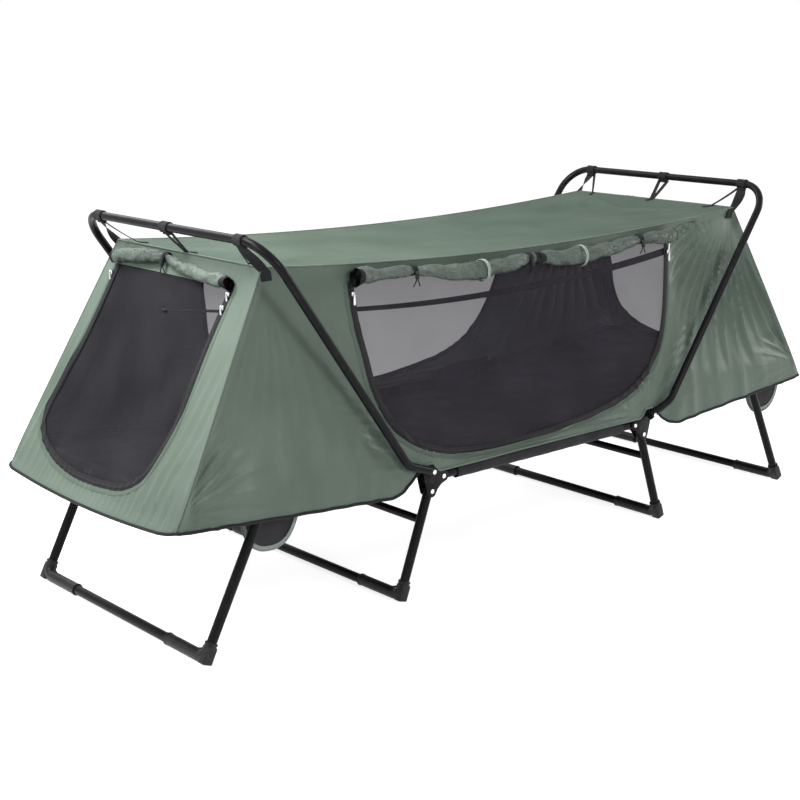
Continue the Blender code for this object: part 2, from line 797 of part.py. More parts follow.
# Sloping ends with their windows
for end_name, end in ends_named:
    side_inset = cloth * wall_stretch + seam_gap
    panel_top = canopy_top_z - cloth - gap
    tops = [(-1, panel_top), (1, panel_top), (1, skirt_kink_z), (1, hem_end_z), (-1, hem_end_z), (-1, skirt_kink_z)]
    outline = [(side * (wall_out(z) - side_inset), z) for side, z in tops]
    thick = cloth * end_stretch
    shape = between(
        outline,
        lambda y, z: Vector((end * end_out(z), y, z)),
        lambda y, z: Vector((end * (end_out(z) - thick), y, z)),
    )
    panel = put("end_" + end_name, shape, green_nylon)
    opening = between(
        window_outline(0),
        lambda y, z: Vector((end * canopy_top_x / 2, y, z)),
        lambda y, z: Vector((end * (skirt_end_x + canopy_top_x), y, z)),
    )
    helper(panel, opening, "DIFFERENCE")
    deep = (cloth + gap) * end_stretch
    deeper = (cloth + gap + mesh_sheet) * end_stretch
    shape = between(
        window_outline(mesh_margin),
        lambda y, z: Vector((end * (end_out(z) - deep), y, z)),
        lambda y, z: Vector((end * (end_out(z) - deeper), y, z)),
    )
    put("mesh_" + end_name, shape, black_mesh)

# Rolled flaps, drawn in at their ties


def rolled(stations_of_roll, along):
    """A roll: at each station a centre and a radius, with its rings square to the direction along."""
    up = Vector((0, 0, 1))
    other = along.cross(up)
    corners = []
    for centre, radius in stations_of_roll:
        for k in range(rod_sides):
            turn = (k + 0.5) * math.tau / rod_sides
            corners.append(centre + (other * math.cos(turn) + up * math.sin(turn)) * radius)
    last = (len(stations_of_roll) - 1) * rod_sides
    faces = [list(range(rod_sides)), list(range(last, last + rod_sides))]
    for k in range(len(stations_of_roll) - 1):
        faces += bridge(k * rod_sides, (k + 1) * rod_sides, rod_sides)
    return corners, faces


door_tie_shares = (0.14, 0.5, 0.86)
window_tie_shares = (0.5,)
tie_width_share = 0.035


def roll_stations(tie_shares, centre_of):
    shares = [0.0]
    for tie in tie_shares:
        shares += [tie - 2 * tie_width_share, tie, tie + 2 * tie_width_share]
    shares.append(1.0)
    found = []
    for share in shares:
        tied = share in tie_shares or share in (0.0, 1.0)
        found.append((centre_of(share), roll_radius - (roll_tie_depth if tied else 0)))
    return found


for side_name, side in sides_named:

    def centre_of(share):
        x = -door_head_reach + (door_head_reach + door_foot_reach) * share
        z = roof_edge(x) - roll_drop
        return Vector((x, side * (unclipped(z) + (roll_radius + gap) * wall_stretch), z))

    shape = rolled(roll_stations(door_tie_shares, centre_of), Vector((1, 0, 0)))
    put("roll_" + side_name, shape, green_nylon)

for end_name, end in ends_named:

    def centre_of(share):
        y = window_roll_half * (2 * share - 1)
        x = end_out(window_roll_z) + (roll_radius + gap) * end_stretch
        return Vector((end * x, y, window_roll_z))

    shape = rolled(roll_stations(window_tie_shares, centre_of), across)
    put("roll_" + end_name, shape, green_nylon)

# Sliders of the near door's zip
for name, x in (("head", -door_head_reach - 2 * slider_half), ("foot", door_foot_reach + 2 * slider_half)):
    low = slider_low_z
    high = low + slider_length
    outline = [(x - slider_half, low), (x + slider_half, low), (x + slider_half, high), (x - slider_half, high)]
    near = gap * wall_stretch
    shape = between(
        outline,
        lambda x, z: Vector((x, -(unclipped(z) + near), z)),
        lambda x, z: Vector((x, -(unclipped(z) + near + slider_sheet), z)),
    )
    put("zip_pull_" + name, shape, zip_metal)
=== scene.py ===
import math

import bpy
import numpy as np
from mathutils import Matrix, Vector


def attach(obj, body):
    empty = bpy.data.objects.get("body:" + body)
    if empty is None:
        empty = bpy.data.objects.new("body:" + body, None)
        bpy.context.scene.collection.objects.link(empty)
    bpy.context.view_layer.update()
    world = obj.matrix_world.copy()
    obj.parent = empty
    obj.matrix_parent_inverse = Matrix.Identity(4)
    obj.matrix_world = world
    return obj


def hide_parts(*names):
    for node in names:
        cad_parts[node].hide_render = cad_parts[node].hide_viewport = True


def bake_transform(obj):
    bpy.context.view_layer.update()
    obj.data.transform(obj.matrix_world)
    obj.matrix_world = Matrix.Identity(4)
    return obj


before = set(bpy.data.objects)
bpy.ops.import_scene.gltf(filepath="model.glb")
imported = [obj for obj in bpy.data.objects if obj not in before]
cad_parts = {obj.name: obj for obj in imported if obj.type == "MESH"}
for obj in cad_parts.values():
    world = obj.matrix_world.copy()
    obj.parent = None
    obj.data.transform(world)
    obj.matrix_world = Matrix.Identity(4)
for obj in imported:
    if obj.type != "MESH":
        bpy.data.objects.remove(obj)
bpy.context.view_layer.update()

# A folding camp bed with its own low tent: X along the bed with the head end at -X, near side -Y, metres.

# Bed frame
tube_radius = 0.011
tube_y = 0.330
pivot_x, pivot_z = 0.387, 0.301
rail_x, rail_z = 0.337, 0.277
leg_x, leg_z = 0.373, 0.247
plate_out, plate_in, plate_sheet = 0.342, 0.316, 0.002
end_frame_length = 0.6386
end_frame_corner = 0.070
end_frame_rise = math.radians(4)
hoop_radius = 0.0095
hoop_y = 0.357
hoop_crank = (0.071, 0.026)
hoop_bar = (0.451, 0.556)
hoop_corner, hoop_crank_radius = 0.080, 0.050
strap_y = 0.272
cap_radius = 0.0135
ground_z = 0.01284
end_leg_out, bracket_drop, end_leg_splay = 0.4568, 0.033, 0.147
mid_leg_splay = 0.084

# Canopy
cloth = 0.0012
top_x, top_y, top_z = 0.790, 0.2777, 0.797
skirt_y, kink_z = 0.3465, 0.335
skirt_end_x, hem_end_z = 1.067, 0.300
wall_slope = (skirt_y - top_y) / (top_z - kink_z)
end_slope = (skirt_end_x - top_x) / (top_z - hem_end_z)
roof_sag, roof_dish = 0.032, 0.008
plan_corner = 0.022

ends_named = (("head", -1), ("foot", 1))
sides_named = (("near", -1), ("far", 1))
across = Vector((0, 1, 0))
up = Vector((0, 0, 1))
white = (1, 1, 1, 1)


# Nodes of materials and the world


def fill(tree, node, inputs):
    """Gives the node's inputs their values or links, and returns its outputs."""
    for socket, value in inputs.items():
        if isinstance(value, bpy.types.NodeSocket):
            tree.links.new(value, node.inputs[socket])
        else:
            node.inputs[socket].default_value = value
    return node.outputs


def add_node(tree, kind, **inputs):
    """A new node: an underscore in an input's name stands for a space."""
    named_inputs = {name.replace("_", " "): value for name, value in inputs.items()}
    return fill(tree, tree.nodes.new("ShaderNode" + kind), named_inputs)


def sums(tree, operation, first, second=0.0):
    found = tree.nodes.new("ShaderNodeMath")
    found.operation = operation
    return fill(tree, found, {0: first, 1: second})[0]


def mix_seen(tree, plain, shown):
    """Shows the second shader where the camera, or a gloss or glass, looks straight at it."""
    rays = add_node(tree, "LightPath")
    straight = sums(tree, "MAXIMUM", rays["Is Camera Ray"], rays["Is Glossy Ray"])
    straight = sums(tree, "MAXIMUM", straight, rays["Is Transmission Ray"])
    return fill(tree, tree.nodes.new("ShaderNodeMixShader"), {0: straight, 1: plain, 2: shown})[0]


# Camera, lamps and floor


def place_camera():
    bpy.ops.object.camera_add(location=(-2.6067, -2.7626, 1.2807))
    camera = bpy.context.active_object
    heading, dip = math.radians(48.56), math.radians(13.97)
    ahead = Vector((math.cos(heading) * math.cos(dip), math.sin(heading) * math.cos(dip), -math.sin(dip)))
    camera.rotation_euler = ahead.to_track_quat("-Z", "Y").to_euler()
    camera.data.sensor_width = 36
    camera.data.lens = 68.09
    bpy.context.scene.camera = camera


def place_lamp(name, place, target, size, power):
    bpy.ops.object.light_add(type="AREA", location=place)
    lamp = bpy.context.active_object
    lamp.name = name
    lamp.rotation_euler = (Vector(target) - Vector(place)).to_track_quat("-Z", "Y").to_euler()
    lamp.data.size = size
    lamp.data.energy = power


def light_studio():
    world = bpy.data.worlds.new("studio")
    world.use_nodes = True
    bpy.context.scene.world = world
    tree = world.node_tree
    plain = fill(tree, tree.nodes["Background"], {"Color": (0.95, 0.97, 1.0, 1), "Strength": 0.30})
    shown = add_node(tree, "Background", Color=white, Strength=1.0)
    fill(tree, tree.nodes["World Output"], {"Surface": mix_seen(tree, plain[0], shown[0])})
    place_lamp("key_softbox", (-2.9, -0.4, 1.9), (-0.6, 0, 0.45), 0.7, 29)
    place_lamp("top_softbox", (-1.6, 0.2, 2.2), (-0.3, 0, 0.8), 0.8, 54)
    place_lamp("front_softbox", (-0.1, -4.2, 2.2), (0.1, 0, 0.45), 1.1, 56)
    place_lamp("side_softbox", (2.7, -1.3, 1.3), (0.5, -0.2, 0.5), 0.60, 20)
    place_lamp("back_softbox", (-0.4, 2.6, 3.0), (-0.2, 0, 0.5), 1.8, 46)


def lay_floor():
    bpy.ops.mesh.primitive_plane_add(size=60, location=(0, 0, -0.0006))
    floor = bpy.context.active_object
    floor.name = "studio_floor"
    made = bpy.data.materials.new("floor_white")
    made.use_nodes = True
    tree = made.node_tree
    tree.nodes.remove(tree.nodes["Principled BSDF"])
    matt = add_node(tree, "BsdfDiffuse", Color=(0.80, 0.80, 0.80, 1))
    glow = add_node(tree, "Emission", Color=white, Strength=0.82)
    both = fill(tree, tree.nodes.new("ShaderNodeAddShader"), {0: matt[0], 1: glow[0]})
    fill(tree, tree.nodes["Material Output"], {"Surface": mix_seen(tree, matt[0], both[0])})
    floor.data.materials.append(made)


# Finishes


class Finish:
    """A material with one shader. Its clouds lie in the piece's own space, and its ribs on the flat
    cloth."""

    def __init__(self, name, colour, roughness, metallic=0.0, specular=0.5, sheen=0.0):
        self.material = bpy.data.materials.new(name)
        self.material.use_nodes = True
        self.tree = self.material.node_tree
        self.shader = self.tree.nodes["Principled BSDF"]
        self.set(Base_Color=(*colour, 1), Roughness=roughness, Metallic=metallic,
                 Specular_IOR_Level=specular, Sheen_Weight=sheen)
        spots = add_node(self.tree, "TexCoord")
        self.place, self.flat = spots["Object"], spots["UV"]

    def set(self, **inputs):
        fill(self.tree, self.shader, {name.replace("_", " "): value for name, value in inputs.items()})

    def sums(self, operation, first, second=0.0):
        return sums(self.tree, operation, first, second)

    def clouds(self, scale, detail=3.0, roughness=0.5, place=None):
        where = self.place if place is None else place
        return add_node(self.tree, "TexNoise", Vector=where, Scale=scale, Detail=detail,
                        Roughness=roughness)["Fac"]

    def stretched_clouds(self, scale, detail, roughness, lean=0.0):
        where = add_node(self.tree, "Mapping", Vector=self.place, Scale=scale, Rotation=(0, lean, 0))
        return self.clouds(1.0, detail, roughness, where["Vector"])

    def ribs(self, period, direction):
        """Ribs that repeat at the period, in metres, from 0 to 1. A wave of scale 1 has 20 turns in tau."""
        found = self.tree.nodes.new("ShaderNodeTexWave")
        found.bands_direction = direction
        return fill(self.tree, found, {"Vector": self.flat, "Scale": math.tau / 20 / period})["Fac"]

    def weave(self, period):
        return self.sums("MULTIPLY", self.ribs(period, "X"), self.ribs(period, "Y"))

    def blend(self, first, second, share):
        """The second taken in by its share, and the first by the rest."""
        return self.sums("ADD", self.sums("MULTIPLY", first, 1 - share), self.sums("MULTIPLY", second, share))

    def paint(self, factor, dark, light, low=0.3, high=0.7):
        ramp = self.tree.nodes.new("ShaderNodeValToRGB")
        for element, position, colour in zip(ramp.color_ramp.elements, (low, high), (dark, light)):
            element.position = position
            element.color = (*colour, 1)
        self.set(Base_Color=fill(self.tree, ramp, {"Fac": factor})["Color"])

    def spread(self, factor, low, high):
        return add_node(self.tree, "MapRange", Value=factor, To_Min=low, To_Max=high)["Result"]

    def bumps(self, *layers):
        """Each layer is a height, a strength and a distance."""
        before = {}
        for height, strength, distance in layers:
            bump = add_node(self.tree, "Bump", Height=height, Strength=strength, Distance=distance, **before)
            before = {"Normal": bump["Normal"]}
        self.set(**before)


def canopy_cloth(name, dark, light, gloss=0.2, crushed=0.0):
    """Coated plain-weave nylon: a fine weave, slanting drag lines, soft crumples and a faint satin gloss."""
    made = Finish(name, light, 0.5, specular=gloss)
    made.paint(made.blend(made.clouds(5.0), made.clouds(420.0, 2.0), 0.25), dark, light, 0.34, 0.66)
    made.set(Roughness=made.spread(made.clouds(30.0), 0.34, 0.46))
    crumple = made.clouds(26.0, 4.0, 0.55)
    drag = made.stretched_clouds((34.0, 30.0, 5.0), 3.0, 0.55, math.radians(38))
    layers = [(crumple, 0.11, 0.008), (drag, 0.16, 0.012), (made.weave(0.0011), 0.12, 0.0003)]
    if crushed:
        layers.append((made.stretched_clouds((34.0, 48.0, 48.0), 4.0, 0.55), crushed, 0.014))
    made.bumps(*layers)
    return made.material


def insect_mesh(name, dark, light):
    """Black knitted mesh: threads that cover a little over half of it."""
    made = Finish(name, light, 0.7, specular=0.04)
    made.paint(made.clouds(9.0), dark, light)
    made.set(Alpha=made.spread(made.clouds(7.0), 0.56, 0.66))
    made.bumps((made.clouds(22.0), 0.25, 0.004))
    return made.material


def black_cloth(name, dark, light, roughness, period):
    made = Finish(name, light, roughness, specular=0.10, sheen=0.04)
    made.paint(made.blend(made.clouds(14.0), made.clouds(500.0, 1.0), 0.12), dark, light, 0.35, 0.65)
    made.bumps((made.clouds(14.0, 4.0), 0.35, 0.010), (made.weave(period), 0.12, 0.0003))
    return made.material


def ribbed_tape(name, dark, light, period, stitched=None):
    """Woven tape with ribs across it, and a stitch line near each edge where its half width is given."""
    made = Finish(name, light, 0.68, specular=0.12, sheen=0.04)
    height = made.ribs(period, "X")
    # The ribs' height also sets the tone: painted shade in the grooves between them. The stitches are paler
    # thread.
    painted_light_and_stitch_tone = made.sums("MULTIPLY", height, made.sums("ADD", made.clouds(120.0), 0.35))
    if stitched:
        thread, dash_length = 0.0006, 0.0034
        off = made.sums("ABSOLUTE", add_node(made.tree, "SeparateXYZ", Vector=made.flat)[1])
        off = made.sums("ABSOLUTE", made.sums("SUBTRACT", off, stitched))
        line = made.sums("LESS_THAN", off, thread)
        dash = made.sums("GREATER_THAN", made.ribs(dash_length, "X"), 0.35)
        stitch = made.sums("MULTIPLY", line, dash)
        painted_light_and_stitch_tone = made.sums("ADD", painted_light_and_stitch_tone, made.sums("MULTIPLY", stitch, 0.6))
        height = made.sums("SUBTRACT", height, made.sums("MULTIPLY", line, 1.2))
    made.paint(painted_light_and_stitch_tone, dark, light, 0.1, 0.8)
    made.bumps((height, 0.45, 0.0005))
    return made.material


def zip_tape():
    """Zip tape with its coil down the middle and a stitch line near each edge."""
    made = Finish("zip_tape", (0.016, 0.016, 0.018), 0.6, specular=0.15)
    coil_half, coil_pitch, seam_off, seam_half = 0.0020, 0.0018, 0.0052, 0.0005
    off = made.sums("ABSOLUTE", add_node(made.tree, "SeparateXYZ", Vector=made.flat)[1])
    coil = made.sums("MULTIPLY", made.sums("LESS_THAN", off, coil_half), made.ribs(coil_pitch, "X"))
    from_seam = made.sums("ABSOLUTE", made.sums("SUBTRACT", off, seam_off))
    seam = made.sums("LESS_THAN", from_seam, seam_half)
    # The coil is painted paler than the tape, palest on its raised teeth and dark between them: painted
    # highlight and shade. The seams are paler thread.
    painted_light_and_stitch_tone = made.sums("ADD", coil, made.sums("MULTIPLY", seam, 0.5))
    made.paint(painted_light_and_stitch_tone, (0.012, 0.012, 0.013), (0.045, 0.045, 0.050), 0.1, 1.0)
    made.bumps((made.sums("SUBTRACT", coil, seam), 0.8, 0.0010), (made.ribs(0.0009, "Y"), 0.2, 0.0003))
    return made.material


def powder_coat(name, colour, worn, roughness=0.30):
    """Black stove enamel with a slight orange peel, rubbed a little paler here and there."""
    made = Finish(name, colour, roughness, specular=0.09)
    rubbed = made.clouds(38.0, 6.0, 0.65)
    made.paint(rubbed, colour, worn, 0.52, 0.80)
    made.set(Roughness=made.spread(made.clouds(60.0), roughness - 0.07, roughness + 0.10))
    made.bumps((made.clouds(900.0, 1.0), 0.06, 0.0004), (rubbed, 0.05, 0.0006))
    return made.material


def bright_metal(name, colour, roughness):
    made = Finish(name, colour, roughness, metallic=1.0)
    marks = made.clouds(700.0)
    made.paint(marks, tuple(0.72 * value for value in colour), colour, 0.35, 0.6)
    made.set(Roughness=made.spread(marks, roughness, roughness + 0.18))
    made.bumps((marks, 0.08, 0.0002))
    return made.material


def moulded_plastic(name, colour, light):
    made = Finish(name, colour, 0.42, specular=0.22)
    made.paint(made.clouds(70.0, 5.0, 0.6), colour, light, 0.45, 0.75)
    made.bumps((made.clouds(1500.0, 2.0), 0.10, 0.0003))
    return made.material


canopy_green = canopy_cloth("canopy_green", (0.104, 0.138, 0.109), (0.134, 0.174, 0.140))
seam_green = ribbed_tape("seam_green", (0.082, 0.112, 0.088), (0.120, 0.160, 0.127), 0.004)
mesh_black = insect_mesh("insect_mesh", (0.042, 0.036, 0.046), (0.058, 0.050, 0.064))
# The windows' mesh is the doors' black mesh painted darker: painted shade.
window_black_painted_shade = insect_mesh("window_mesh_painted_shade", (0.024, 0.023, 0.027), (0.038, 0.036, 0.042))
# The rolled flaps are the walls' nylon painted darker: painted shade of the roll's layers and creases.
rolled_green = canopy_cloth("rolled_green", (0.046, 0.063, 0.051), (0.100, 0.132, 0.107), 0.38, 0.9)
roof_green = canopy_cloth("roof_green", (0.104, 0.138, 0.109), (0.134, 0.174, 0.140), 0.0)
bed_black = black_cloth("bed_black", (0.017, 0.017, 0.019), (0.042, 0.042, 0.047), 0.72, 0.0012)
sleeve_black = black_cloth("sleeve_black", (0.014, 0.014, 0.016), (0.030, 0.030, 0.034), 0.60, 0.0014)
pocket_charcoal = black_cloth("pocket_charcoal", (0.026, 0.026, 0.029), (0.046, 0.046, 0.050), 0.66, 0.0013)
strap_black = ribbed_tape("strap_black", (0.008, 0.008, 0.009), (0.022, 0.022, 0.024), 0.0019, 0.0095)
hem_black = ribbed_tape("hem_black", (0.008, 0.009, 0.009), (0.024, 0.025, 0.026), 0.0022)
loop_pale = ribbed_tape("loop_pale", (0.22, 0.27, 0.24), (0.42, 0.47, 0.44), 0.0016)
binding_grey = ribbed_tape("binding_grey", (0.20, 0.23, 0.22), (0.38, 0.42, 0.41), 0.0018)
tape_black = zip_tape()
tube_black = powder_coat("tube_black", (0.007, 0.007, 0.008), (0.018, 0.018, 0.020))
plate_black = powder_coat("plate_black", (0.008, 0.008, 0.009), (0.050, 0.050, 0.054))
# Bright metal for the plates' folded top edge: a painted highlight of the black edge catching the light.
flange_painted_highlight = bright_metal("flange_painted_highlight", (0.46, 0.46, 0.47), 0.30)
rivet_bright = bright_metal("rivet_bright", (0.82, 0.82, 0.80), 0.26)
zip_nickel = bright_metal("zip_nickel", (0.78, 0.78, 0.80), 0.22)
foot_black = moulded_plastic("foot_black", (0.010, 0.010, 0.011), (0.026, 0.026, 0.028))


# Ways of making a piece


def deselect():
    if bpy.context.mode != "OBJECT":
        bpy.ops.object.mode_set(mode="OBJECT")
    bpy.ops.object.select_all(action="DESELECT")


def pick(piece):
    deselect()
    piece.select_set(True)
    bpy.context.view_layer.objects.active = piece


def open_mesh(piece, kind="FACE"):
    pick(piece)
    bpy.ops.object.mode_set(mode="EDIT")
    bpy.ops.mesh.select_mode(type=kind)


def edit(piece):
    """Opens the piece for editing with all of it selected."""
    open_mesh(piece)
    bpy.ops.mesh.select_all(action="SELECT")


def edit_chosen(piece, kind, chosen):
    """Opens the piece for editing with only the chosen points or faces selected."""
    open_mesh(piece, kind)
    bpy.ops.mesh.select_all(action="DESELECT")
    done()
    parts = piece.data.vertices if kind == "VERT" else piece.data.polygons
    parts.foreach_set("select", chosen)
    open_mesh(piece, kind)


def done():
    bpy.ops.object.mode_set(mode="OBJECT")


def rename(piece, name):
    piece.name = name
    piece.data.name = name
    return piece


def named(name, paint):
    piece = rename(bpy.context.active_object, name)
    piece.data.materials.clear()
    piece.data.materials.append(paint)
    return piece


def points_of(mesh):
    found = np.zeros(len(mesh.vertices) * 3, np.float32)
    mesh.vertices.foreach_get("co", found)
    return found.reshape(-1, 3).astype(float)


def move_points(mesh, points):
    mesh.vertices.foreach_set("co", np.asarray(points, np.float32).reshape(-1))
    mesh.update()


def lay_flat(mesh, flat):
    """The piece's UV map: where each point lies in the flat cloth, in metres."""
    if not mesh.uv_layers:
        mesh.uv_layers.new(name="flat_cloth")
    corners = np.zeros(len(mesh.loops), np.int32)
    mesh.loops.foreach_get("vertex_index", corners)
    mesh.uv_layers[0].data.foreach_set("uv", np.asarray(flat, np.float32)[corners].reshape(-1))


def flat_places(mesh):
    """The UV map's places, one for each corner of each face."""
    found = np.zeros(len(mesh.loops) * 2, np.float32)
    mesh.uv_layers[0].data.foreach_get("uv", found)
    return found.reshape(-1, 2)


def smooth(piece, angle=None):
    pick(piece)
    if angle:
        bpy.ops.object.shade_smooth_by_angle(angle=math.radians(angle))
    else:
        bpy.ops.object.shade_smooth()


def flip(piece):
    edit(piece)
    bpy.ops.mesh.flip_normals()
    done()


def face_out(piece, way):
    """Turns the faces round where most of them look against the way."""
    found = sum((polygon.normal * polygon.area for polygon in piece.data.polygons), Vector())
    if found.dot(Vector(way)) < 0:
        flip(piece)


def face_from(piece, centre):
    """Turns the faces round where the first looks towards the centre."""
    first = piece.data.polygons[0]
    if first.normal.dot(first.center - Vector(centre)) < 0:
        flip(piece)


def thicken(piece, sheet, offset=-1.0):
    pick(piece)
    change = piece.modifiers.new("thickness", "SOLIDIFY")
    change.thickness = sheet
    change.offset = offset
    bpy.ops.object.modifier_apply(modifier=change.name)


def soften(piece, width, segments=2):
    pick(piece)
    change = piece.modifiers.new("edges", "BEVEL")
    change.width = width
    change.segments = segments
    change.limit_method = "ANGLE"
    change.angle_limit = math.radians(35)
    bpy.ops.object.modifier_apply(modifier=change.name)


def sheet_grid(name, points, flat, paint):
    """A primitive grid whose rows and columns of points go to the places given, as (rows, columns, 3),
    with a map of where they lie in the flat cloth, unless that is laid out later."""
    rows, columns = points.shape[:2]
    deselect()
    bpy.ops.mesh.primitive_grid_add(x_subdivisions=columns - 1, y_subdivisions=rows - 1, size=1)
    piece = named(name, paint)
    start = points_of(piece.data)
    column = np.rint((start[:, 0] + 0.5) * (columns - 1)).astype(int)
    row = np.rint((start[:, 1] + 0.5) * (rows - 1)).astype(int)
    move_points(piece.data, points[row, column])
    if flat is not None:
        lay_flat(piece.data, flat[row, column])
    return piece


def grid_of(*layers):
    """The layers stacked as one grid, each spread out over its rows and columns."""
    return np.stack(np.broadcast_arrays(*layers), axis=-1)


def unit(rows):
    return rows / np.linalg.norm(rows, axis=1)[:, None]


def run_along(line):
    """The distance of each point of the line from its start."""
    return np.concatenate([[0], np.cumsum(np.linalg.norm(np.diff(line, axis=0), axis=1))])


def curve_through(points, steps=10):
    """A smooth line through the points."""
    points = np.asarray(points, float)
    whole = np.vstack([2 * points[0] - points[1], points, 2 * points[-1] - points[-2]])
    found = []
    for a, b, c, d in zip(whole, whole[1:], whole[2:], whole[3:]):
        for k in range(steps):
            t = k / steps
            found.append(0.5 * (2 * b + (c - a) * t + (2 * a - 5 * b + 4 * c - d) * t * t
                                + (3 * b - a - 3 * c + d) * t ** 3))
    found.append(points[-1])
    return np.array(found)


def grown(line, by):
    """The flat line moved sideways by the distance, away from what it goes round."""
    ahead = unit(np.gradient(line, axis=0))
    return line + np.stack([ahead[:, 1], -ahead[:, 0]], axis=1) * by


def within(line, points):
    inside = np.zeros(len(points), bool)
    for (x0, y0), (x1, y1) in zip(line, np.roll(line, -1, axis=0)):
        if y0 != y1:
            crosses = (y0 > points[:, 1]) != (y1 > points[:, 1])
            inside ^= crosses & (points[:, 0] < (x1 - x0) * (points[:, 1] - y0) / (y1 - y0) + x0)
    return inside


def nearest_on(line, points):
    """The nearest place on the closed line to each point, and how far off it is."""
    no_length = 1e-14
    best = np.full(len(points), np.inf)
    found = points.copy()
    for first, second in zip(line, np.roll(line, -1, axis=0)):
        along = second - first
        if along @ along < no_length:
            continue
        share = np.clip((points - first) @ along / (along @ along), 0, 1)
        spot = first + share[:, None] * along
        off = np.linalg.norm(points - spot, axis=1)
        closer = off < best
        best[closer] = off[closer]
        found[closer] = spot[closer]
    return found, best


def cut_along(piece, line, keep_inside, cell):
    """Cuts the flat grid along the closed line and draws its new edge onto the line."""
    mesh = piece.data
    snap_reach, smooth_reach = 1.3 * cell, 4 * cell
    points = points_of(mesh)[:, :2]
    centres = np.array([np.mean(points[list(p.vertices)], axis=0) for p in mesh.polygons])
    edit_chosen(piece, "FACE", within(line, centres) != keep_inside)
    bpy.ops.mesh.delete(type="FACE")
    done()
    uses = np.zeros(len(mesh.edges), int)
    edge_of = np.zeros(len(mesh.loops), np.int32)
    mesh.loops.foreach_get("edge_index", edge_of)
    np.add.at(uses, edge_of, 1)
    rim = {v for e, n in zip(mesh.edges, uses) if n == 1 for v in e.vertices}
    points = points_of(mesh)
    spots, off = nearest_on(line, points[:, :2])
    on_rim = np.array([k in rim for k in range(len(points))])
    snapped = on_rim & (off < snap_reach)
    points[snapped, :2] = spots[snapped]
    move_points(mesh, points)
    edit_chosen(piece, "VERT", ~on_rim & (off < smooth_reach))
    bpy.ops.mesh.vertices_smooth(factor=0.5, repeat=5)
    done()


def cut_across(piece, names, places):
    """The piece cut square to X at the places, as parts from head to foot with the names."""
    parts = []
    for name, low, high in zip(names, [None, *places], [*places, None]):
        pick(piece)
        bpy.ops.object.duplicate()
        part = rename(bpy.context.active_object, name)
        for place, inner in ((low, True), (high, False)):
            if place is not None:
                edit(part)
                bpy.ops.mesh.bisect(plane_co=(place, 0, 0), plane_no=(1, 0, 0), clear_inner=inner,
                                    clear_outer=not inner)
                done()
        parts.append(part)
    bpy.data.objects.remove(piece, do_unlink=True)
    return parts


def rounded(points, radii, steps=12):
    """The path through the points with each inner corner rounded."""
    points = [Vector(point) for point in points]
    path = [points[0]]
    for before, corner, after, radius in zip(points, points[1:], points[2:], radii):
        back = (before - corner).normalized()
        ahead = (after - corner).normalized()
        half = back.angle(ahead) / 2
        centre = corner + (back + ahead).normalized() * (radius / math.sin(half))
        start = corner + back * (radius / math.tan(half)) - centre
        finish = corner + ahead * (radius / math.tan(half)) - centre
        turn = start.angle(finish)
        for k in range(steps + 1):
            share = k / steps
            spot = start * math.sin((1 - share) * turn) + finish * math.sin(share * turn)
            path.append(centre + spot / math.sin(turn))
    path.append(points[-1])
    return path


def bent_tube(name, path, radius, paint, sides=28, shares=None):
    """A round tube along the path, with closed ends: shares give its radius at each point."""
    deselect()
    bpy.ops.curve.primitive_bezier_curve_add(location=(0, 0, 0))
    line = bpy.context.active_object.data
    line.splines.clear()
    run = line.splines.new("POLY")
    run.points.add(len(path) - 1)
    for point, place, share in zip(run.points, path, shares or [1] * len(path)):
        point.co = (*place, 1)
        point.radius = share
    line.dimensions = "3D"
    line.bevel_depth = radius
    line.bevel_resolution = max(0, sides // 2 - 2)
    line.use_fill_caps = True
    bpy.ops.object.convert(target="MESH")
    piece = named(name, paint)
    smooth(piece, 40)
    return piece


def turned(name, centre, steps, paint, sides=24):
    """A round piece on an axis along Y: each step is a place on the axis and a radius."""
    deselect()
    place, radius = steps[0]
    bpy.ops.mesh.primitive_circle_add(vertices=sides, radius=radius, fill_type="NGON",
                                      location=(centre[0], place, centre[1]), rotation=(math.pi / 2, 0, 0))
    bpy.ops.object.transform_apply(location=True, rotation=True, scale=True)
    piece = named(name, paint)
    edit(piece)
    for (before, wide), (after, next_wide) in zip(steps, steps[1:]):
        bpy.ops.mesh.extrude_region_move(TRANSFORM_OT_translate={"value": (0, after - before, 0)})
        share = next_wide / wide
        bpy.ops.transform.resize(value=(share, 1, share), center_override=(centre[0], after, centre[1]))
    point_outwards()
    smooth(piece, 40)
    return piece


def point_outwards():
    """Makes the faces of the closed piece that is being edited look out, and ends the editing."""
    bpy.ops.mesh.select_all(action="SELECT")
    bpy.ops.mesh.normals_make_consistent(inside=False)
    done()


def plate(name, outline, push, paint, edge, angle):
    """A plate with the outline, as thick as the push."""
    deselect()
    bpy.ops.mesh.primitive_circle_add(vertices=len(outline), fill_type="NGON")
    piece = named(name, paint)
    move_points(piece.data, outline)
    edit(piece)
    bpy.ops.mesh.extrude_region_move(TRANSFORM_OT_translate={"value": tuple(push)})
    point_outwards()
    soften(piece, edge)
    smooth(piece, angle)
    return piece


def block(name, centre, size, paint, lean=0.0, edge=0.002, segments=3):
    """A rounded block leaning about Y."""
    deselect()
    bpy.ops.mesh.primitive_cube_add(size=1, location=centre, rotation=(0, lean, 0))
    piece = named(name, paint)
    piece.scale = size
    bpy.ops.object.transform_apply(location=True, rotation=True, scale=True)
    soften(piece, edge, segments)
    smooth(piece, 40)
    return piece


def join(name, pieces):
    deselect()
    for piece in pieces:
        piece.select_set(True)
    bpy.context.view_layer.objects.active = pieces[0]
    if len(pieces) > 1:
        bpy.ops.object.join()
    return rename(pieces[0], name)


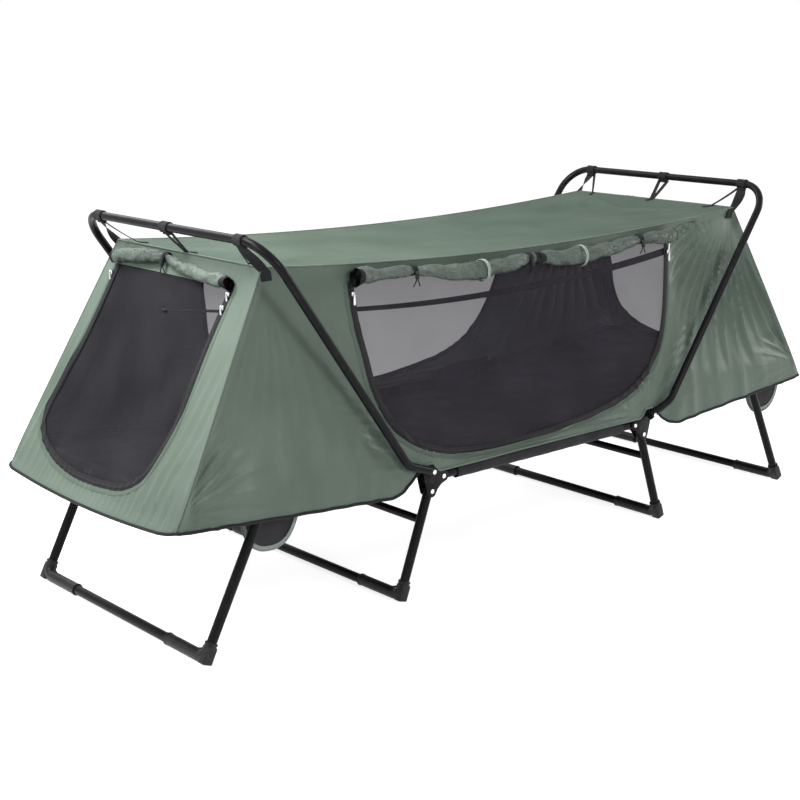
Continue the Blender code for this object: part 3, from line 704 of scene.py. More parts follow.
def ribbon(name, line, sides, width, sheet, paint, crown=0.0, columns=5):
    """A strap along the line: sides gives the direction across it at each point and width its breadth."""
    line = np.array(line, float)
    sides = unit(np.array(sides, float))
    width = np.broadcast_to(np.asarray(width, float), (len(line),))
    normal = unit(np.cross(np.gradient(line, axis=0), sides))
    share = np.linspace(-1, 1, columns)
    points = (line[:, None] + sides[:, None] * (share[None, :, None] * width[:, None, None] / 2)
              + normal[:, None] * (crown * (1 - share ** 2))[None, :, None])
    flat = grid_of(run_along(line)[:, None], share[None] * width[:, None] / 2)
    piece = sheet_grid(name, points, flat, paint)
    thicken(piece, sheet, 0.0)
    smooth(piece, 40)
    return piece


# How a piece moves and what it stands for


def place_in(piece, slot, *nodes):
    if nodes:
        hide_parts(*nodes)


def ride(piece, body, slot, *nodes):
    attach(piece, body)
    place_in(piece, slot, *nodes)


def section_blend(piece, end, slot, *nodes):
    """Fixes the bed's cloth where it lies, and hides the parts that it stands for."""
    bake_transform(piece)
    place_in(piece, slot, *nodes)


def canopy_part(piece, end, outer=False, slot=None, *nodes):
    """Fixes the canopy's part where it lies, and hides the parts that it stands for where a slot is given."""
    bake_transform(piece)
    if slot:
        place_in(piece, slot, *nodes)


def declare(piece):
    """Reads the places of the cloth's flat map, and keeps nothing of them."""
    flat = flat_places(piece.data)


def cloth_piece(piece, sheet=cloth, offset=-1.0):
    """Mesh has none."""
    declare(piece)
    if sheet:
        thicken(piece, sheet, offset)
    smooth(piece, 60)


def lay_cloth(name, points, flat, paint, way, sheet=0.0008):
    """A cloth with its thickness on both sides of the points, facing the way."""
    piece = sheet_grid(name, points, flat, paint)
    face_out(piece, way)
    cloth_piece(piece, sheet, 0.0)
    return piece


# Where the canopy's cloth lies


def fade(value, start, finish):
    share = np.clip((value - start) / (finish - start), 0, 1)
    return share * share * (3 - 2 * share)


def between(value, start, full, ease, finish):
    """Rises from 0 to 1 and falls back to 0."""
    return fade(value, start, full) * (1 - fade(value, ease, finish))


def waves(turns):
    """From 0 to 1 and back."""
    return 0.5 - 0.5 * np.cos(turns)


def ridges(turns, sharp):
    """1 in the valleys between narrow ridges, 0 on the ridges."""
    return 1 - np.exp(-(np.sin(turns) / sharp) ** 2)


def ripple(a, b):
    return (0.5 * np.sin(7.3 * a + 3.1 * b + 0.4) + 0.3 * np.sin(-4.7 * a + 11.9 * b + 2.1)
            + 0.2 * np.sin(17.1 * a + 6.3 * b + 1.2))


def roof_edge(x):
    return top_z - roof_sag * (1 - np.minimum(np.abs(x) / top_x, 1) ** 2)


def wall_out(z):
    """The long side's outer face, with a soft turn into the upright skirt."""
    soft, proud = 0.006, 0.0001
    short = skirt_y - top_y - (top_z - z) * wall_slope
    return skirt_y - 0.5 * (short + np.sqrt(short ** 2 + soft ** 2)) + proud


def end_out(z):
    return top_x + (top_z - z) * end_slope


def hem(x):
    """The long side's lower edge: low past the hoop's leg, and cut out over the hinge and its plates."""
    spots = [0, 0.350, 0.362, 0.372, 0.404, 0.420, 0.440, 0.465, 0.500, skirt_end_x]
    heights = [0.2925, 0.2925, 0.299, 0.3135, 0.3135, 0.299, 0.281, 0.266, 0.259, hem_end_z]
    return np.interp(np.abs(x), spots, heights)


def end_hem(y):
    """The sloping end's hem, which hangs a little lower in the middle."""
    hem_sag = 0.014
    return hem_end_z - hem_sag * (1 - np.minimum(np.abs(y) / skirt_y, 1) ** 2)


def hoop_gap(x, z):
    """How far outside the hoop's leg, along X, a point of the long side lies."""
    hoop_lean = 0.717
    return np.abs(x) - (pivot_x + hoop_crank[0] + (z - pivot_z - hoop_crank[1]) * hoop_lean)


def skirt_ease(x, z):
    """Past the hoop's leg the long side stands out a little, round the frame, its saddles and their pins."""
    ease = 0.0080
    return ease * fade(hoop_gap(x, z), 0.020, 0.080) * (1 - fade(z, 0.36, 0.47))


def end_ease(z):
    """Low down the sloping end stands out a little, round the frame's end tube."""
    ease = 0.0095
    return ease * (1 - fade(z, 0.37, 0.50))


def roof_corner_folds(x, z):
    """Folds that fan out of the roof's corner, and slacker ones below: deeper at the foot."""
    far = np.abs(x)
    fan_depth = np.where(x > 0, 0.0170, 0.0016)
    slack_depth = np.where(x > 0, 0.0075, 0.0020)
    reach = np.hypot(top_x - far, top_z - z)
    turn = np.arctan2(top_z - z, top_x - far)
    fan = ridges(23 * turn + 1.6 * np.sin(8 * reach + 1.0), 0.60)
    fan_part = between(reach, 0.06, 0.20, 0.28, 0.50) * fade(far, 0.49, 0.57)
    slack = ridges(13 * turn + 2.6 * np.sin(5 * reach), 0.8)
    slack_part = between(reach, 0.20, 0.34, 0.50, 0.70) * fade(far, 0.50, 0.60)
    return fan_depth * fan * fan_part + slack_depth * slack * slack_part


def hinge_pleats(far, z):
    """Pleats that spread upwards from the hinge."""
    depth, hinge_z = 0.0060, 0.300
    reach = np.hypot(far - pivot_x, z - hinge_z)
    turn = np.arctan2(z - hinge_z, far - pivot_x)
    pleats = ridges(12.0 * turn + 6 * reach, 0.65)
    return depth * pleats * between(reach, 0.012, 0.05, 0.09, 0.24) * fade(z, 0.30, 0.34)


def under_door_folds(x, z):
    """Long folds between the door and the hem."""
    depth, period, low = 0.0075, 0.015, 0.2925
    lines = waves(math.tau * (z - low) / period + 5.0 * np.sin(2.6 * x + 0.5))
    return depth * lines * (1 - fade(z, 0.315, 0.350)) * (1 - fade(np.abs(x), 0.26, 0.36))


def tip_rays(far, z):
    """Rays out of the skirt's lower outer tip."""
    depth, tip_x, tip_z = 0.0085, 1.05, 0.335
    reach = np.hypot(far - tip_x, z - tip_z)
    rays = ridges(15 * np.arctan2(z - tip_z, tip_x - far) + 9 * reach, 0.55)
    return depth * rays * between(reach, 0.02, 0.05, 0.10, 0.24)


def hoop_gathers(x, z):
    """Gathers beside the hoop's leg."""
    far, depth, period, lean = np.abs(x), 0.0048, 0.021, 0.30
    beside = fade(-np.abs(hoop_gap(x, z)), -0.080, -0.020) * between(z, 0.33, 0.36, 0.46, 0.58)
    return depth * beside * waves(math.tau * (z - lean * far) / period + 2 * np.sin(19 * far))


def skirt_waves(far, z):
    """Soft upright waves in the skirt past the hoop's leg."""
    depth, period = 0.0034, 0.075
    part = fade(far, 0.46, 0.56) * (1 - fade(z, 0.36, 0.50))
    return depth * part * waves(math.tau * far / period + 9 * z + 1.5 * np.sin(11 * far))


def kept_within(drawn, room):
    """Folds no deeper than the room."""
    return room * np.tanh(drawn / room)


def wall_folds(x, z):
    """How far the long side is drawn in. Room is what the tubes and the bed behind it leave."""
    far, beside_plates = np.abs(x), 0.31
    ripple_depth = 0.0042
    ripples = ripple_depth * (1 + ripple(x, z)) * fade(z, 0.33, 0.42)
    drawn = (roof_corner_folds(x, z) + hinge_pleats(far, z) + under_door_folds(x, z) + ripples
             + tip_rays(far, z) + hoop_gathers(x, z) + skirt_waves(far, z))
    over_rail = 0.0060 * fade(z, 0.294, 0.304)
    past_hoop = 0.0036 * fade(hoop_gap(x, z), 0.03, 0.09)
    room = 0.0030 + np.where(far < beside_plates, over_rail, past_hoop) + 0.03 * fade(z, 0.35, 0.43)
    drawn = kept_within(drawn, room)
    drawn *= fade(roof_edge(x) - z, 0.0, 0.020) * fade(end_out(z) - far, 0.0, 0.025)
    return drawn - skirt_ease(x, z) * fade(end_out(z) - far, 0.0, 0.05)


def end_folds(y, z):
    """How far the sloping end is drawn in: gathers over the hem and slack folds beside the window's foot."""
    gather_depth, gather_period = 0.0050, 0.019
    slack_depth, slack_period = 0.0085, 0.031
    ripple_depth = 0.0026
    low = 1 - fade(z, 0.325, 0.400)
    drawn = gather_depth * low * waves(math.tau * y / gather_period + 1.7 * np.sin(27 * y) + 9 * z)
    beside = between(np.abs(y), 0.15, 0.21, 0.29, 0.33) * (1 - fade(z, 0.46, 0.66))
    drawn += slack_depth * beside * ridges(math.pi * (y + 0.16 * (z - 0.3)) / slack_period, 0.8)
    drawn += ripple_depth * (1 + ripple(y + 0.7, z))
    drawn *= fade(z - end_hem(y), 0.0, 0.030)
    room = 0.0078 + 0.006 * fade(z, 0.38, 0.50)
    drawn = kept_within(drawn, room)
    drawn *= fade(wall_out(z) - np.abs(y), 0.0, 0.022) * fade(top_z - z, 0.0, 0.018)
    return drawn - end_ease(z) * fade(wall_out(z) - np.abs(y), 0.0, 0.045)


def plan_radius(z):
    """The radius of the canopy's upright corner, which opens out from nothing at the roof."""
    least = 1e-5
    return np.maximum(plan_corner * np.clip((top_z - z) / (top_z - hem_end_z), 0, 1), least)


def past_corner(along, z, drawn, corner_at, face):
    """How far along and out a flat point lies, where the panel turns half of the canopy's upright corner."""
    radius = plan_radius(z)
    gap = corner_at - np.abs(along)
    turn = np.clip(1 - gap / radius, 0, 1) * math.pi / 4
    round_along = corner_at - radius + (radius - drawn) * np.sin(turn)
    round_out = face - radius + (radius - drawn) * np.cos(turn)
    bent = gap < radius
    return np.where(bent, np.sign(along) * round_along, along), np.where(bent, round_out, face - drawn)


def on_wall(x, z, side, lift=0.0):
    """The place of a flat point of the long side, lifted off its outer face."""
    x, z = np.asarray(x, float), np.asarray(z, float)
    along, out = past_corner(x, z, wall_folds(x, z) - lift, end_out(z), wall_out(z))
    return np.stack([along, side * out, z], axis=-1)


def on_end(y, z, end, lift=0.0):
    y, z = np.asarray(y, float), np.asarray(z, float)
    along, out = past_corner(y, z, end_folds(y, z) - lift, wall_out(z), end_out(z))
    return np.stack([end * out, along, z], axis=-1)


def on_roof(x, y, lift=0.0):
    """The place of a flat point of the roof, which is dished, with folds out of its corners and along it."""
    corner_depth, long_depth, ripple_depth = 0.0042, 0.0026, 0.0030
    x, y = np.asarray(x, float), np.asarray(y, float)
    edge = roof_edge(x)
    half = wall_out(edge)
    along, aside = x / top_x, y / half
    border = (1 - along ** 2) * (1 - aside ** 2)
    reach = np.hypot(top_x - np.abs(x), half - np.abs(y))
    turn = np.arctan2(half - np.abs(y), top_x - np.abs(x))
    folds = ridges(8.0 * turn + 2.0 * reach, 0.6) * between(reach, 0.03, 0.15, 0.25, 0.55)
    long_folds = ridges(5.5 * aside + 1.6 * np.sin(2.3 * x + 0.6) + 0.4 * np.sin(6 * x + 3 * aside), 0.9)
    drawn = corner_depth * folds + long_depth * long_folds + ripple_depth * (1 + ripple(x, y))
    drawn *= np.minimum(1, 5 * border)
    return np.stack([x, y, edge - roof_dish * border + lift - drawn], axis=-1)


# The canopy's cloth, its openings and what trims them

door_line = curve_through([
    (-0.558, 0.742), (-0.553, 0.660), (-0.540, 0.590), (-0.521, 0.504), (-0.480, 0.426), (-0.418, 0.373),
    (-0.340, 0.341), (-0.240, 0.325), (-0.100, 0.321), (0.060, 0.328), (0.200, 0.344), (0.300, 0.366),
    (0.380, 0.406), (0.436, 0.470), (0.468, 0.545), (0.490, 0.640), (0.505, 0.742)])
window_line = curve_through([
    (-0.203, 0.748), (-0.200, 0.660), (-0.200, 0.567), (-0.199, 0.460), (-0.180, 0.385), (-0.130, 0.350),
    (-0.050, 0.338), (0.040, 0.335), (0.110, 0.341), (0.180, 0.355), (0.240, 0.380), (0.276, 0.424),
    (0.272, 0.500), (0.250, 0.580), (0.240, 0.660), (0.238, 0.748)])


class Opening:
    """A door or a window: where its panel lies, which way that faces, and the parts that its trim is cut
    into, each with the end of its name, the bed's end and whether it lies past the roof's corner."""

    def __init__(self, kind, owner, panel, line, place, way, slope, parts):
        self.kind, self.owner, self.panel, self.line = kind, owner, panel, line
        self.place, self.way, self.slope, self.parts = place, way, slope, parts

    def split(self, piece, name):
        if len(self.parts) == 1:
            return [(piece, *self.parts[0])]
        cut = cut_across(piece, [name + ending for ending, _, _ in self.parts], [0])
        return [(part, *about) for part, about in zip(cut, self.parts)]

    def lay(self, piece, lift=0.0):
        """Puts the flat piece, drawn in the panel's own plane, in its place."""
        points = points_of(piece.data)
        lay_flat(piece.data, points[:, :2] * [1, math.hypot(1, self.slope)])
        move_points(piece.data, self.place(points[:, 0], points[:, 1], lift))
        face_out(piece, self.way)

    def add_mesh(self, across_spots, up_spots, top, paint, slack_of, belly_reach):
        """Slack insect mesh behind the opening, a little larger than it all round."""
        overlap, behind, mesh_cell = 0.007, 0.0022, 0.0095
        edge = grown(self.line, overlap)
        edge[0, 1] = edge[-1, 1] = top
        grid = grid_of(across_spots[None], up_spots[:, None], 0.0)
        name = "mesh_" + self.owner
        sheet = sheet_grid(name, grid, None, paint)
        cut_along(sheet, edge, True, mesh_cell)
        points = points_of(sheet.data)
        _, off = nearest_on(edge, points[:, :2])
        self.lay(sheet, -behind - slack_of(points[:, 0], points[:, 1], fade(off, 0.0, belly_reach)))
        for part, ending, end, outer in self.split(sheet, name):
            cloth_piece(part, None)
            canopy_part(part, end, outer, "black_mesh", name)

    def add_tape(self, what, inner, outer_edge, lift, crown, columns, paint, sheet, slot):
        """A tape along the opening, between two distances from its edge."""
        share = np.linspace(0, 1, columns)
        rows = [grown(self.line, inner + (outer_edge - inner) * s) for s in share]
        points = np.stack([self.place(row[:, 0], row[:, 1], lift + crown * (1 - (2 * s - 1) ** 2))
                           for row, s in zip(rows, share)], axis=1)
        flat = grid_of(run_along(self.line)[:, None], (share - 0.5)[None] * (outer_edge - inner))
        name = f"{self.kind}_{what}_{self.owner}"
        tape = sheet_grid(name, points, flat, paint)
        face_out(tape, self.way)
        for part, _, end, outer in self.split(tape, name):
            thicken(part, sheet)
            smooth(part, 40)
            canopy_part(part, end, outer, slot)


def door_slack(x, z, belly):
    """How far the door's mesh hangs in: the belly goes from 0 at its edge to 1."""
    swell_depth, crumple_depth = 0.010, 0.0035
    swell = 0.5 + 0.5 * np.sin(5.0 * x + 1.2)
    crumple = 1 + np.sin(19 * x + 9 * z) * np.sin(11 * z + 2 * x + 1)
    return swell_depth * belly * swell + crumple_depth * belly * crumple


def window_slack(y, z, belly):
    swell_depth, crumple_depth = 0.006, 0.003
    return swell_depth * belly + crumple_depth * belly * (1 + np.sin(23 * y + 5 * z))


def make_wall(side_name, side):
    half_spots = np.concatenate([np.linspace(0, 0.302, 44), np.linspace(0.302, 0.425, 24)[1:],
                                 np.linspace(0.425, top_x, 68)[1:],
                                 np.linspace(top_x, skirt_end_x - 0.0015, 48)[1:]])
    x = np.concatenate([-half_spots[::-1], half_spots[1:]])
    low = hem(x)
    high = np.minimum(roof_edge(x), top_z - (np.abs(x) - top_x) / end_slope)
    rows, closer_low, cell = 92, 1.35, 0.0085
    z = low + (high - low) * np.linspace(0, 1, rows)[:, None] ** closer_low
    name = "wall_" + side_name
    wall = sheet_grid(name, grid_of(x, z, 0.0), None, canopy_green)
    cut_along(wall, door_line, False, cell)
    door = Opening("door", side_name, name, door_line, lambda x, z, lift: on_wall(x, z, side, lift),
                   (0, side, 0), wall_slope, (("_head", -1, False), ("_foot", 1, False)))
    door.lay(wall)
    parts = cut_across(wall, [name + part for part in ("_head_end", "_head", "_foot", "_foot_end")],
                       [-top_x, 0, top_x])
    for part, end, outer in zip(parts, (-1, -1, 1, 1), (True, False, False, True)):
        cloth_piece(part)
        canopy_part(part, end, outer, "green_nylon", *([] if outer else [name]))

    door.add_mesh(np.linspace(-0.575, 0.525, 121), np.linspace(0.305, 0.752, 50), 0.749, mesh_black,
                  door_slack, 0.14)
    door.add_tape("zip", -0.006, 0.010, 0.0012, 0.0012, 7, tape_black, 0.0008, "black_mesh")
    door.add_tape("facing", 0.0125, 0.0215, 0.0007, 0.0006, 5, seam_green, 0.0004, "green_nylon")


def make_end(end_name, end):
    columns, rows, cell = 140, 104, 0.0052
    share = np.linspace(0, 1, rows)[:, None]
    start = end_hem(np.linspace(-1, 1, columns)[None] * skirt_y)
    z = start + (top_z - start) * share
    y = np.linspace(-1, 1, columns)[None] * wall_out(z)
    name = "end_" + end_name
    panel = sheet_grid(name, grid_of(y, z, 0.0), None, canopy_green)
    cut_along(panel, window_line, False, cell)
    window = Opening("window", end_name, name, window_line, lambda y, z, lift: on_end(y, z, end, lift),
                     (end, 0, 0.3), end_slope, (("", end, True),))
    window.lay(panel)
    cloth_piece(panel)
    canopy_part(panel, end, True, "green_nylon", name)

    # The window's mesh is painted darker than the doors': painted shade.
    window.add_mesh(np.linspace(-0.225, 0.300, 60), np.linspace(0.322, 0.758, 50), 0.754, window_black_painted_shade,
                    window_slack, 0.12)
    window.add_tape("zip", -0.006, 0.009, 0.0012, 0.0012, 7, tape_black, 0.0008, "black_mesh")
    window.add_tape("facing", 0.0115, 0.0195, 0.0007, 0.0006, 7, seam_green, 0.0004, "green_nylon")


def make_roof():
    x = np.concatenate([np.linspace(-top_x, 0, 92), np.linspace(0, top_x, 92)[1:]])
    y = np.linspace(-1, 1, 64)[:, None] * wall_out(roof_edge(x))[None]
    grid_x = np.broadcast_to(x, y.shape)
    roof = sheet_grid("roof", on_roof(grid_x, y), grid_of(grid_x, y), roof_green)
    face_out(roof, (0, 0, 1))
    for part, end in zip(cut_across(roof, ["roof_head", "roof_foot"], [0]), (-1, 1)):
        cloth_piece(part)
        canopy_part(part, end, False, "green_nylon", "roof")


def welt(name, line, radius, end, outer=False, sides=10):
    canopy_part(bent_tube(name, line, radius, canopy_green, sides), end, outer)


def make_seams():
    """Welted seams: along the roof's long edges and ends, down the four corners, and the hem's binding."""
    proud, hem_proud, hem_up = 0.0006, 0.0004, 0.0008
    for side_name, side in sides_named:
        for end_name, end in ends_named:
            corner = f"{side_name}_{end_name}"
            x = np.linspace(0, end * top_x, 60)
            edge = roof_edge(x)
            line = np.stack([x, side * (wall_out(edge) + proud), edge - 0.0002], axis=1)
            welt("roof_seam_" + corner, line, 0.0021, end)
            z = np.linspace(top_z, hem_end_z, 60)
            radius = plan_radius(z)
            past = (radius + proud) * math.sqrt(0.5) - radius
            line = np.stack([end * (end_out(z) + past), side * (wall_out(z) + past), z], axis=1)
            welt("corner_seam_" + corner, line, 0.0018, end, True, 8)
            x = end * np.linspace(0, 0.400, 90)
            welt("hem_fold_" + corner, on_wall(x, hem(x) + 0.0015, side, proud), 0.0030, end)
    for end_name, end in ends_named:
        y = np.linspace(-1, 1, 60) * wall_out(np.array(top_z))
        line = grid_of(end * (top_x + proud), y, top_z - 0.0004)
        welt("roof_seam_" + end_name, line, 0.0021, end)
        spots = np.linspace(top_x, skirt_end_x - 0.0005, 48)
        near = on_wall(end * spots, hem(spots), -1, hem_proud)
        far = on_wall(end * spots[::-1], hem(spots[::-1]), 1, hem_proud)
        y = np.linspace(-1, 1, 120)[1:-1] * wall_out(np.array(hem_end_z))
        front = on_end(y, end_hem(y), end, hem_proud)
        runs = [(end_name, np.concatenate([near, front, far]), True)]
        for side_name, side in sides_named:
            spots = np.linspace(0.405, top_x, 60)
            runs.append((f"{side_name}_{end_name}", on_wall(end * spots, hem(spots), side, hem_proud), False))
        for name, line, outer in runs:
            line[:, 2] += hem_up
            binding = bent_tube("hem_binding_" + name, line, 0.0036, hem_black, 10)
            canopy_part(binding, end, outer, "webbing")


# Rolled flaps


def rolled_flap(name, centres, radii, out, turns=6, around=18):
    """Cloth rolled up from its free edge, with a centre and an outer radius at each station. Its two ends are
    bound in black."""
    core, bound = 0.20, 0.010
    run = run_along(centres)
    share = np.linspace(0, 1, turns * around + 1)
    turn = math.radians(115) - math.tau * turns * share
    size = 1 - (1 - core) * share
    along, angle = run[:, None], turn[None]
    creases = 1 - ridges(1.5 * angle + 26 * along + 1.5 * np.sin(38 * along), 0.30)
    crumple = (1 + 0.10 * np.sin(2 * angle + 31 * along + 2 * np.sin(23 * along)) * np.sin(47 * along + 1)
               + 0.08 * np.sin(angle - 64 * along + 2) + 0.06 * np.sin(3 * angle + 93 * along)
               - 0.16 * creases * (size[None] > 0.5))
    reach = radii[:, None] * size[None] * crumple
    points = (centres[:, None] + np.array(out, float) * (reach * np.cos(angle))[:, :, None]
              + np.array(up) * (reach * np.sin(angle))[:, :, None])
    arcs = np.abs(np.diff(turn)) * (size[1:] + size[:-1]) / 2 * np.mean(radii)
    length = np.concatenate([[0], np.cumsum(arcs)])
    # The roll's cloth is painted darker than the walls': painted shade.
    roll = sheet_grid(name, points, grid_of(along, length[None]), rolled_green)
    roll.data.materials.append(tape_black)
    flat = flat_places(roll.data)
    for polygon in roll.data.polygons:
        place = flat[polygon.loop_start][0]
        if place < bound or place > run[-1] - bound:
            polygon.material_index = 1
    face_from(roll, centres[0])
    return roll


def hang_roll(name, centres, radii, out, holder, end, outer, node):
    roll = rolled_flap(name, centres, radii, out)
    declare(roll)
    smooth(roll)
    canopy_part(roll, end, outer, "green_nylon", node)


def loop_round(name, centre, radii, along, out, width, paint):
    """A closed band round a roll: radii are its reach outwards and upwards."""
    turn = np.linspace(0, math.tau, 33)
    line = (np.asarray(centre) + np.array(out, float) * (radii[0] * np.cos(turn))[:, None]
            + np.array(up) * (radii[1] * np.sin(turn))[:, None])
    return ribbon(name, line, np.broadcast_to(along, line.shape), width, 0.0014, paint, 0.0008)


def steps_from(place, out, *steps):
    """Points that lie up and outwards from the place by each step."""
    return [place + up * rise + out * reach for rise, reach in steps]


def toggle(name, place, out, along):
    """A moulded barrel on the two ends of an elastic tie."""
    place, out, along = Vector(place), Vector(out), Vector(along)
    ends = []
    for k, lean in enumerate((-0.35, 0.30)):
        tip = place - up * 0.030 + along * lean * 0.030 + out * 0.003
        line = curve_through([*steps_from(place, out, (0.006, 0), (-0.010, 0.004)), tip], 6)
        ends.append(bent_tube(f"{name}_end{k}", line, 0.0013, hem_black, 8))
    line = steps_from(place, out, (0.004, 0.003), (0.002, 0.003), (-0.012, 0.004), (-0.014, 0.004))
    barrel = bent_tube(name + "_barrel", line, 0.0048, foot_black, 14, [0.7, 1, 1, 0.7])
    return join(name, [barrel, *ends])


def tie_roll(owner, centre, radius, along, out, end, outer=False):
    """A strap round the roll, with the toggle that closes it."""
    band = loop_round("tie_" + owner, centre, (radius + 0.0022, radius + 0.0026), along, out, 0.011,
                      strap_black)
    front = np.array(out) * (radius + 0.002) - np.array(up) * radius * 0.5
    for piece in (band, toggle("toggle_" + owner, centre + front, out, along)):
        canopy_part(piece, end, outer, "webbing")


def at_spots(spots, table):
    return np.interp(spots, *zip(*table))


door_roll_radii = [
    (-0.565, 0.0225), (-0.53, 0.0200), (-0.50, 0.0150), (-0.415, 0.0135), (-0.388, 0.0090), (-0.362, 0.0140),
    (-0.30, 0.0180), (-0.215, 0.0215), (-0.188, 0.0225), (-0.165, 0.0195), (-0.08, 0.0180), (-0.045, 0.0145),
    (-0.023, 0.0100), (0.0, 0.0150), (0.06, 0.0200), (0.125, 0.0225), (0.145, 0.0230), (0.165, 0.0205),
    (0.27, 0.0180), (0.345, 0.0150), (0.382, 0.0100), (0.405, 0.0150), (0.45, 0.0185), (0.495, 0.0190),
    (0.512, 0.0170)]
door_roll_rise = [(-0.565, 0.0), (-0.388, 0.004), (-0.25, -0.010), (-0.16, -0.009), (-0.023, 0.003),
                  (0.10, -0.008), (0.22, -0.007), (0.382, 0.003), (0.512, -0.004)]
door_ties = (-0.388, -0.023, 0.382)
door_loops = (-0.188, 0.145)
window_roll_radii = [(-0.212, 0.0155), (-0.19, 0.0165), (-0.12, 0.0150), (-0.02, 0.0130), (0.030, 0.0105),
                     (0.052, 0.0080), (0.075, 0.0125), (0.11, 0.0160), (0.18, 0.0165), (0.220, 0.0160),
                     (0.248, 0.0150)]
window_roll_rise = [(-0.212, -0.004), (-0.10, 0.000), (0.0, 0.010), (0.052, 0.020), (0.10, 0.018),
                    (0.18, 0.012), (0.248, 0.002)]
window_tie = 0.052


def door_roll_centre(x, side):
    x = np.asarray(x, float)
    radius = at_spots(x, door_roll_radii)
    z = roof_edge(x) - 0.026 + at_spots(x, door_roll_rise)
    return np.stack([x, side * (wall_out(z) + radius * 0.92), z], axis=-1), radius


def window_roll_centre(y, end):
    y = np.asarray(y, float)
    radius = at_spots(y, window_roll_radii)
    z = 0.763 + at_spots(y, window_roll_rise)
    return np.stack([end * (end_out(z) + radius * 0.90), y, z], axis=-1), radius


def make_door_roll(side_name, side):
    x = np.linspace(-0.565, 0.512, 181)
    for name, end, keep in (("_head", -1, x <= 0), ("_foot", 1, x >= 0)):
        spots = np.unique(np.round([*x[keep], 0.0], 5))
        hang_roll("roll_" + side_name + name, *door_roll_centre(spots, side), (0, side, 0),
                  "wall_" + side_name + name, end, False, "roll_" + side_name)
    for k, spot in enumerate(door_ties):
        tie_roll(f"{side_name}_{k}", *door_roll_centre(spot, side), (1, 0, 0), (0, side, 0),
                 -1 if spot < 0 else 1)
    for k, spot in enumerate(door_loops):
        centre, radius = door_roll_centre(spot, side)
        band = loop_round(f"pale_loop_{side_name}_{k}", centre, (radius + 0.0026, radius + 0.0030), (1, 0, 0),
                          (0, side, 0), 0.0075, loop_pale)
        canopy_part(band, -1 if spot < 0 else 1)


def make_window_roll(end_name, end):
    hang_roll("roll_" + end_name, *window_roll_centre(np.linspace(-0.212, 0.248, 96), end), (end, 0, 0),
              "end_" + end_name, end, True, "roll_" + end_name)
    tie_roll(end_name, *window_roll_centre(window_tie, end), (0, 1, 0), (end, 0, 0), end, True)


# Inner strap, zip sliders and the straps that hang the roof from the hoops


def make_inner_strap():
    """A webbing strap inside, sewn to both sloping ends, that sags to hand height in the middle."""
    lowest_x, lowest_z = 0.13, 0.597
    for end_name, end, sewn_at in (("head", -1, -0.852), ("foot", 1, 0.873)):
        x = np.linspace(0, sewn_at, 50)
        line = np.stack([x, 0.004 * np.sin(6 * x), lowest_z + 0.085 * (x - lowest_x) ** 2], axis=1)
        lean = 0.5 + 0.5 * x
        sides = np.stack([0 * x, np.cos(lean), np.sin(lean)], axis=1)
        strap = ribbon("inner_strap_" + end_name, line, sides, 0.020, 0.0014, bed_black, 0.0006)
        canopy_part(strap, end, False, "webbing")


def zip_slider(name, place, out, along):
    """A slider on the tape with its pull hanging down, facing out."""
    place, out, along = Vector(place), Vector(out).normalized(), Vector(along)
    line = steps_from(place, out, (0.006, 0.002), (0.004, 0.003), (-0.002, 0.003), (-0.005, 0.002))
    body = bent_tube(name + "_body", line, 0.0046, zip_nickel, 12, [0.55, 1, 0.85, 0.4])
    line = steps_from(place, out, (0.005, 0.004), (0, 0.009), (-0.004, 0.005))
    bridge = bent_tube(name + "_bridge", curve_through(line, 5), 0.0011, zip_nickel, 8)
    line = steps_from(place, out, (0, 0.0085), (-0.004, 0.0088), (-0.012, 0.0075), (-0.024, 0.0068))
    line[2] += along * 0.001
    line[3] += along * 0.002
    line = curve_through(line, 4)
    width = np.interp(np.linspace(0, 1, len(line)), [0, 0.2, 0.5, 0.85, 1],
                      [0.0030, 0.0034, 0.0040, 0.0062, 0.0046])
    tab = ribbon(name + "_tab", line, np.broadcast_to(along, line.shape), width, 0.0012, zip_nickel)
    return join(name, [body, bridge, tab])


def make_sliders():
    lift = 0.0022
    for side_name, side in sides_named:
        for k, (x, z, end) in enumerate(((-0.559, 0.716, -1), (0.510, 0.728, 1), (0.506, 0.704, 1))):
            slider = zip_slider(f"slider_{side_name}_{k}", on_wall(x, z, side, lift), (0, side, 0.15),
                                (1, 0, 0))
            pull = "zip_pull_head" if end < 0 else "zip_pull_foot"
            canopy_part(slider, end, False, "zip_metal", *([pull] if side < 0 and k < 2 else []))
    for end_name, end in ends_named:
        for k, (y, z) in enumerate(((0.245, 0.727), (-0.208, 0.735), (-0.207, 0.708))):
            slider = zip_slider(f"slider_{end_name}_{k}", on_end(y, z, end, lift), (end, 0, 0.5), (0, 1, 0))
            canopy_part(slider, end, True, "zip_metal")


def strap_between(name, start, foot, tail_end, first_side, last_side, widths, bow, body):
    """A webbing strap from the hoop's bar to the canopy, turning and bowed on its way, with a sewn tail."""
    share = np.linspace(0, 1, 17)[:, None]
    first_side, last_side = np.array(first_side, float), np.array(last_side, float)
    line = np.array(start) + (foot - start) * share + np.array(bow) * (4 * share * (1 - share))
    tail = foot + (tail_end - foot) * np.linspace(0, 1, 7)[1:, None]
    sides = first_side * (1 - share) + last_side * share
    sides = np.concatenate([sides, np.broadcast_to(last_side, tail.shape)])
    line = np.concatenate([line, tail])
    width = np.interp(np.linspace(0, 1, len(line)), [0, 1], widths)
    ride(ribbon(name, line, sides, width, 0.0015, strap_black, 0.0006), body, "webbing")


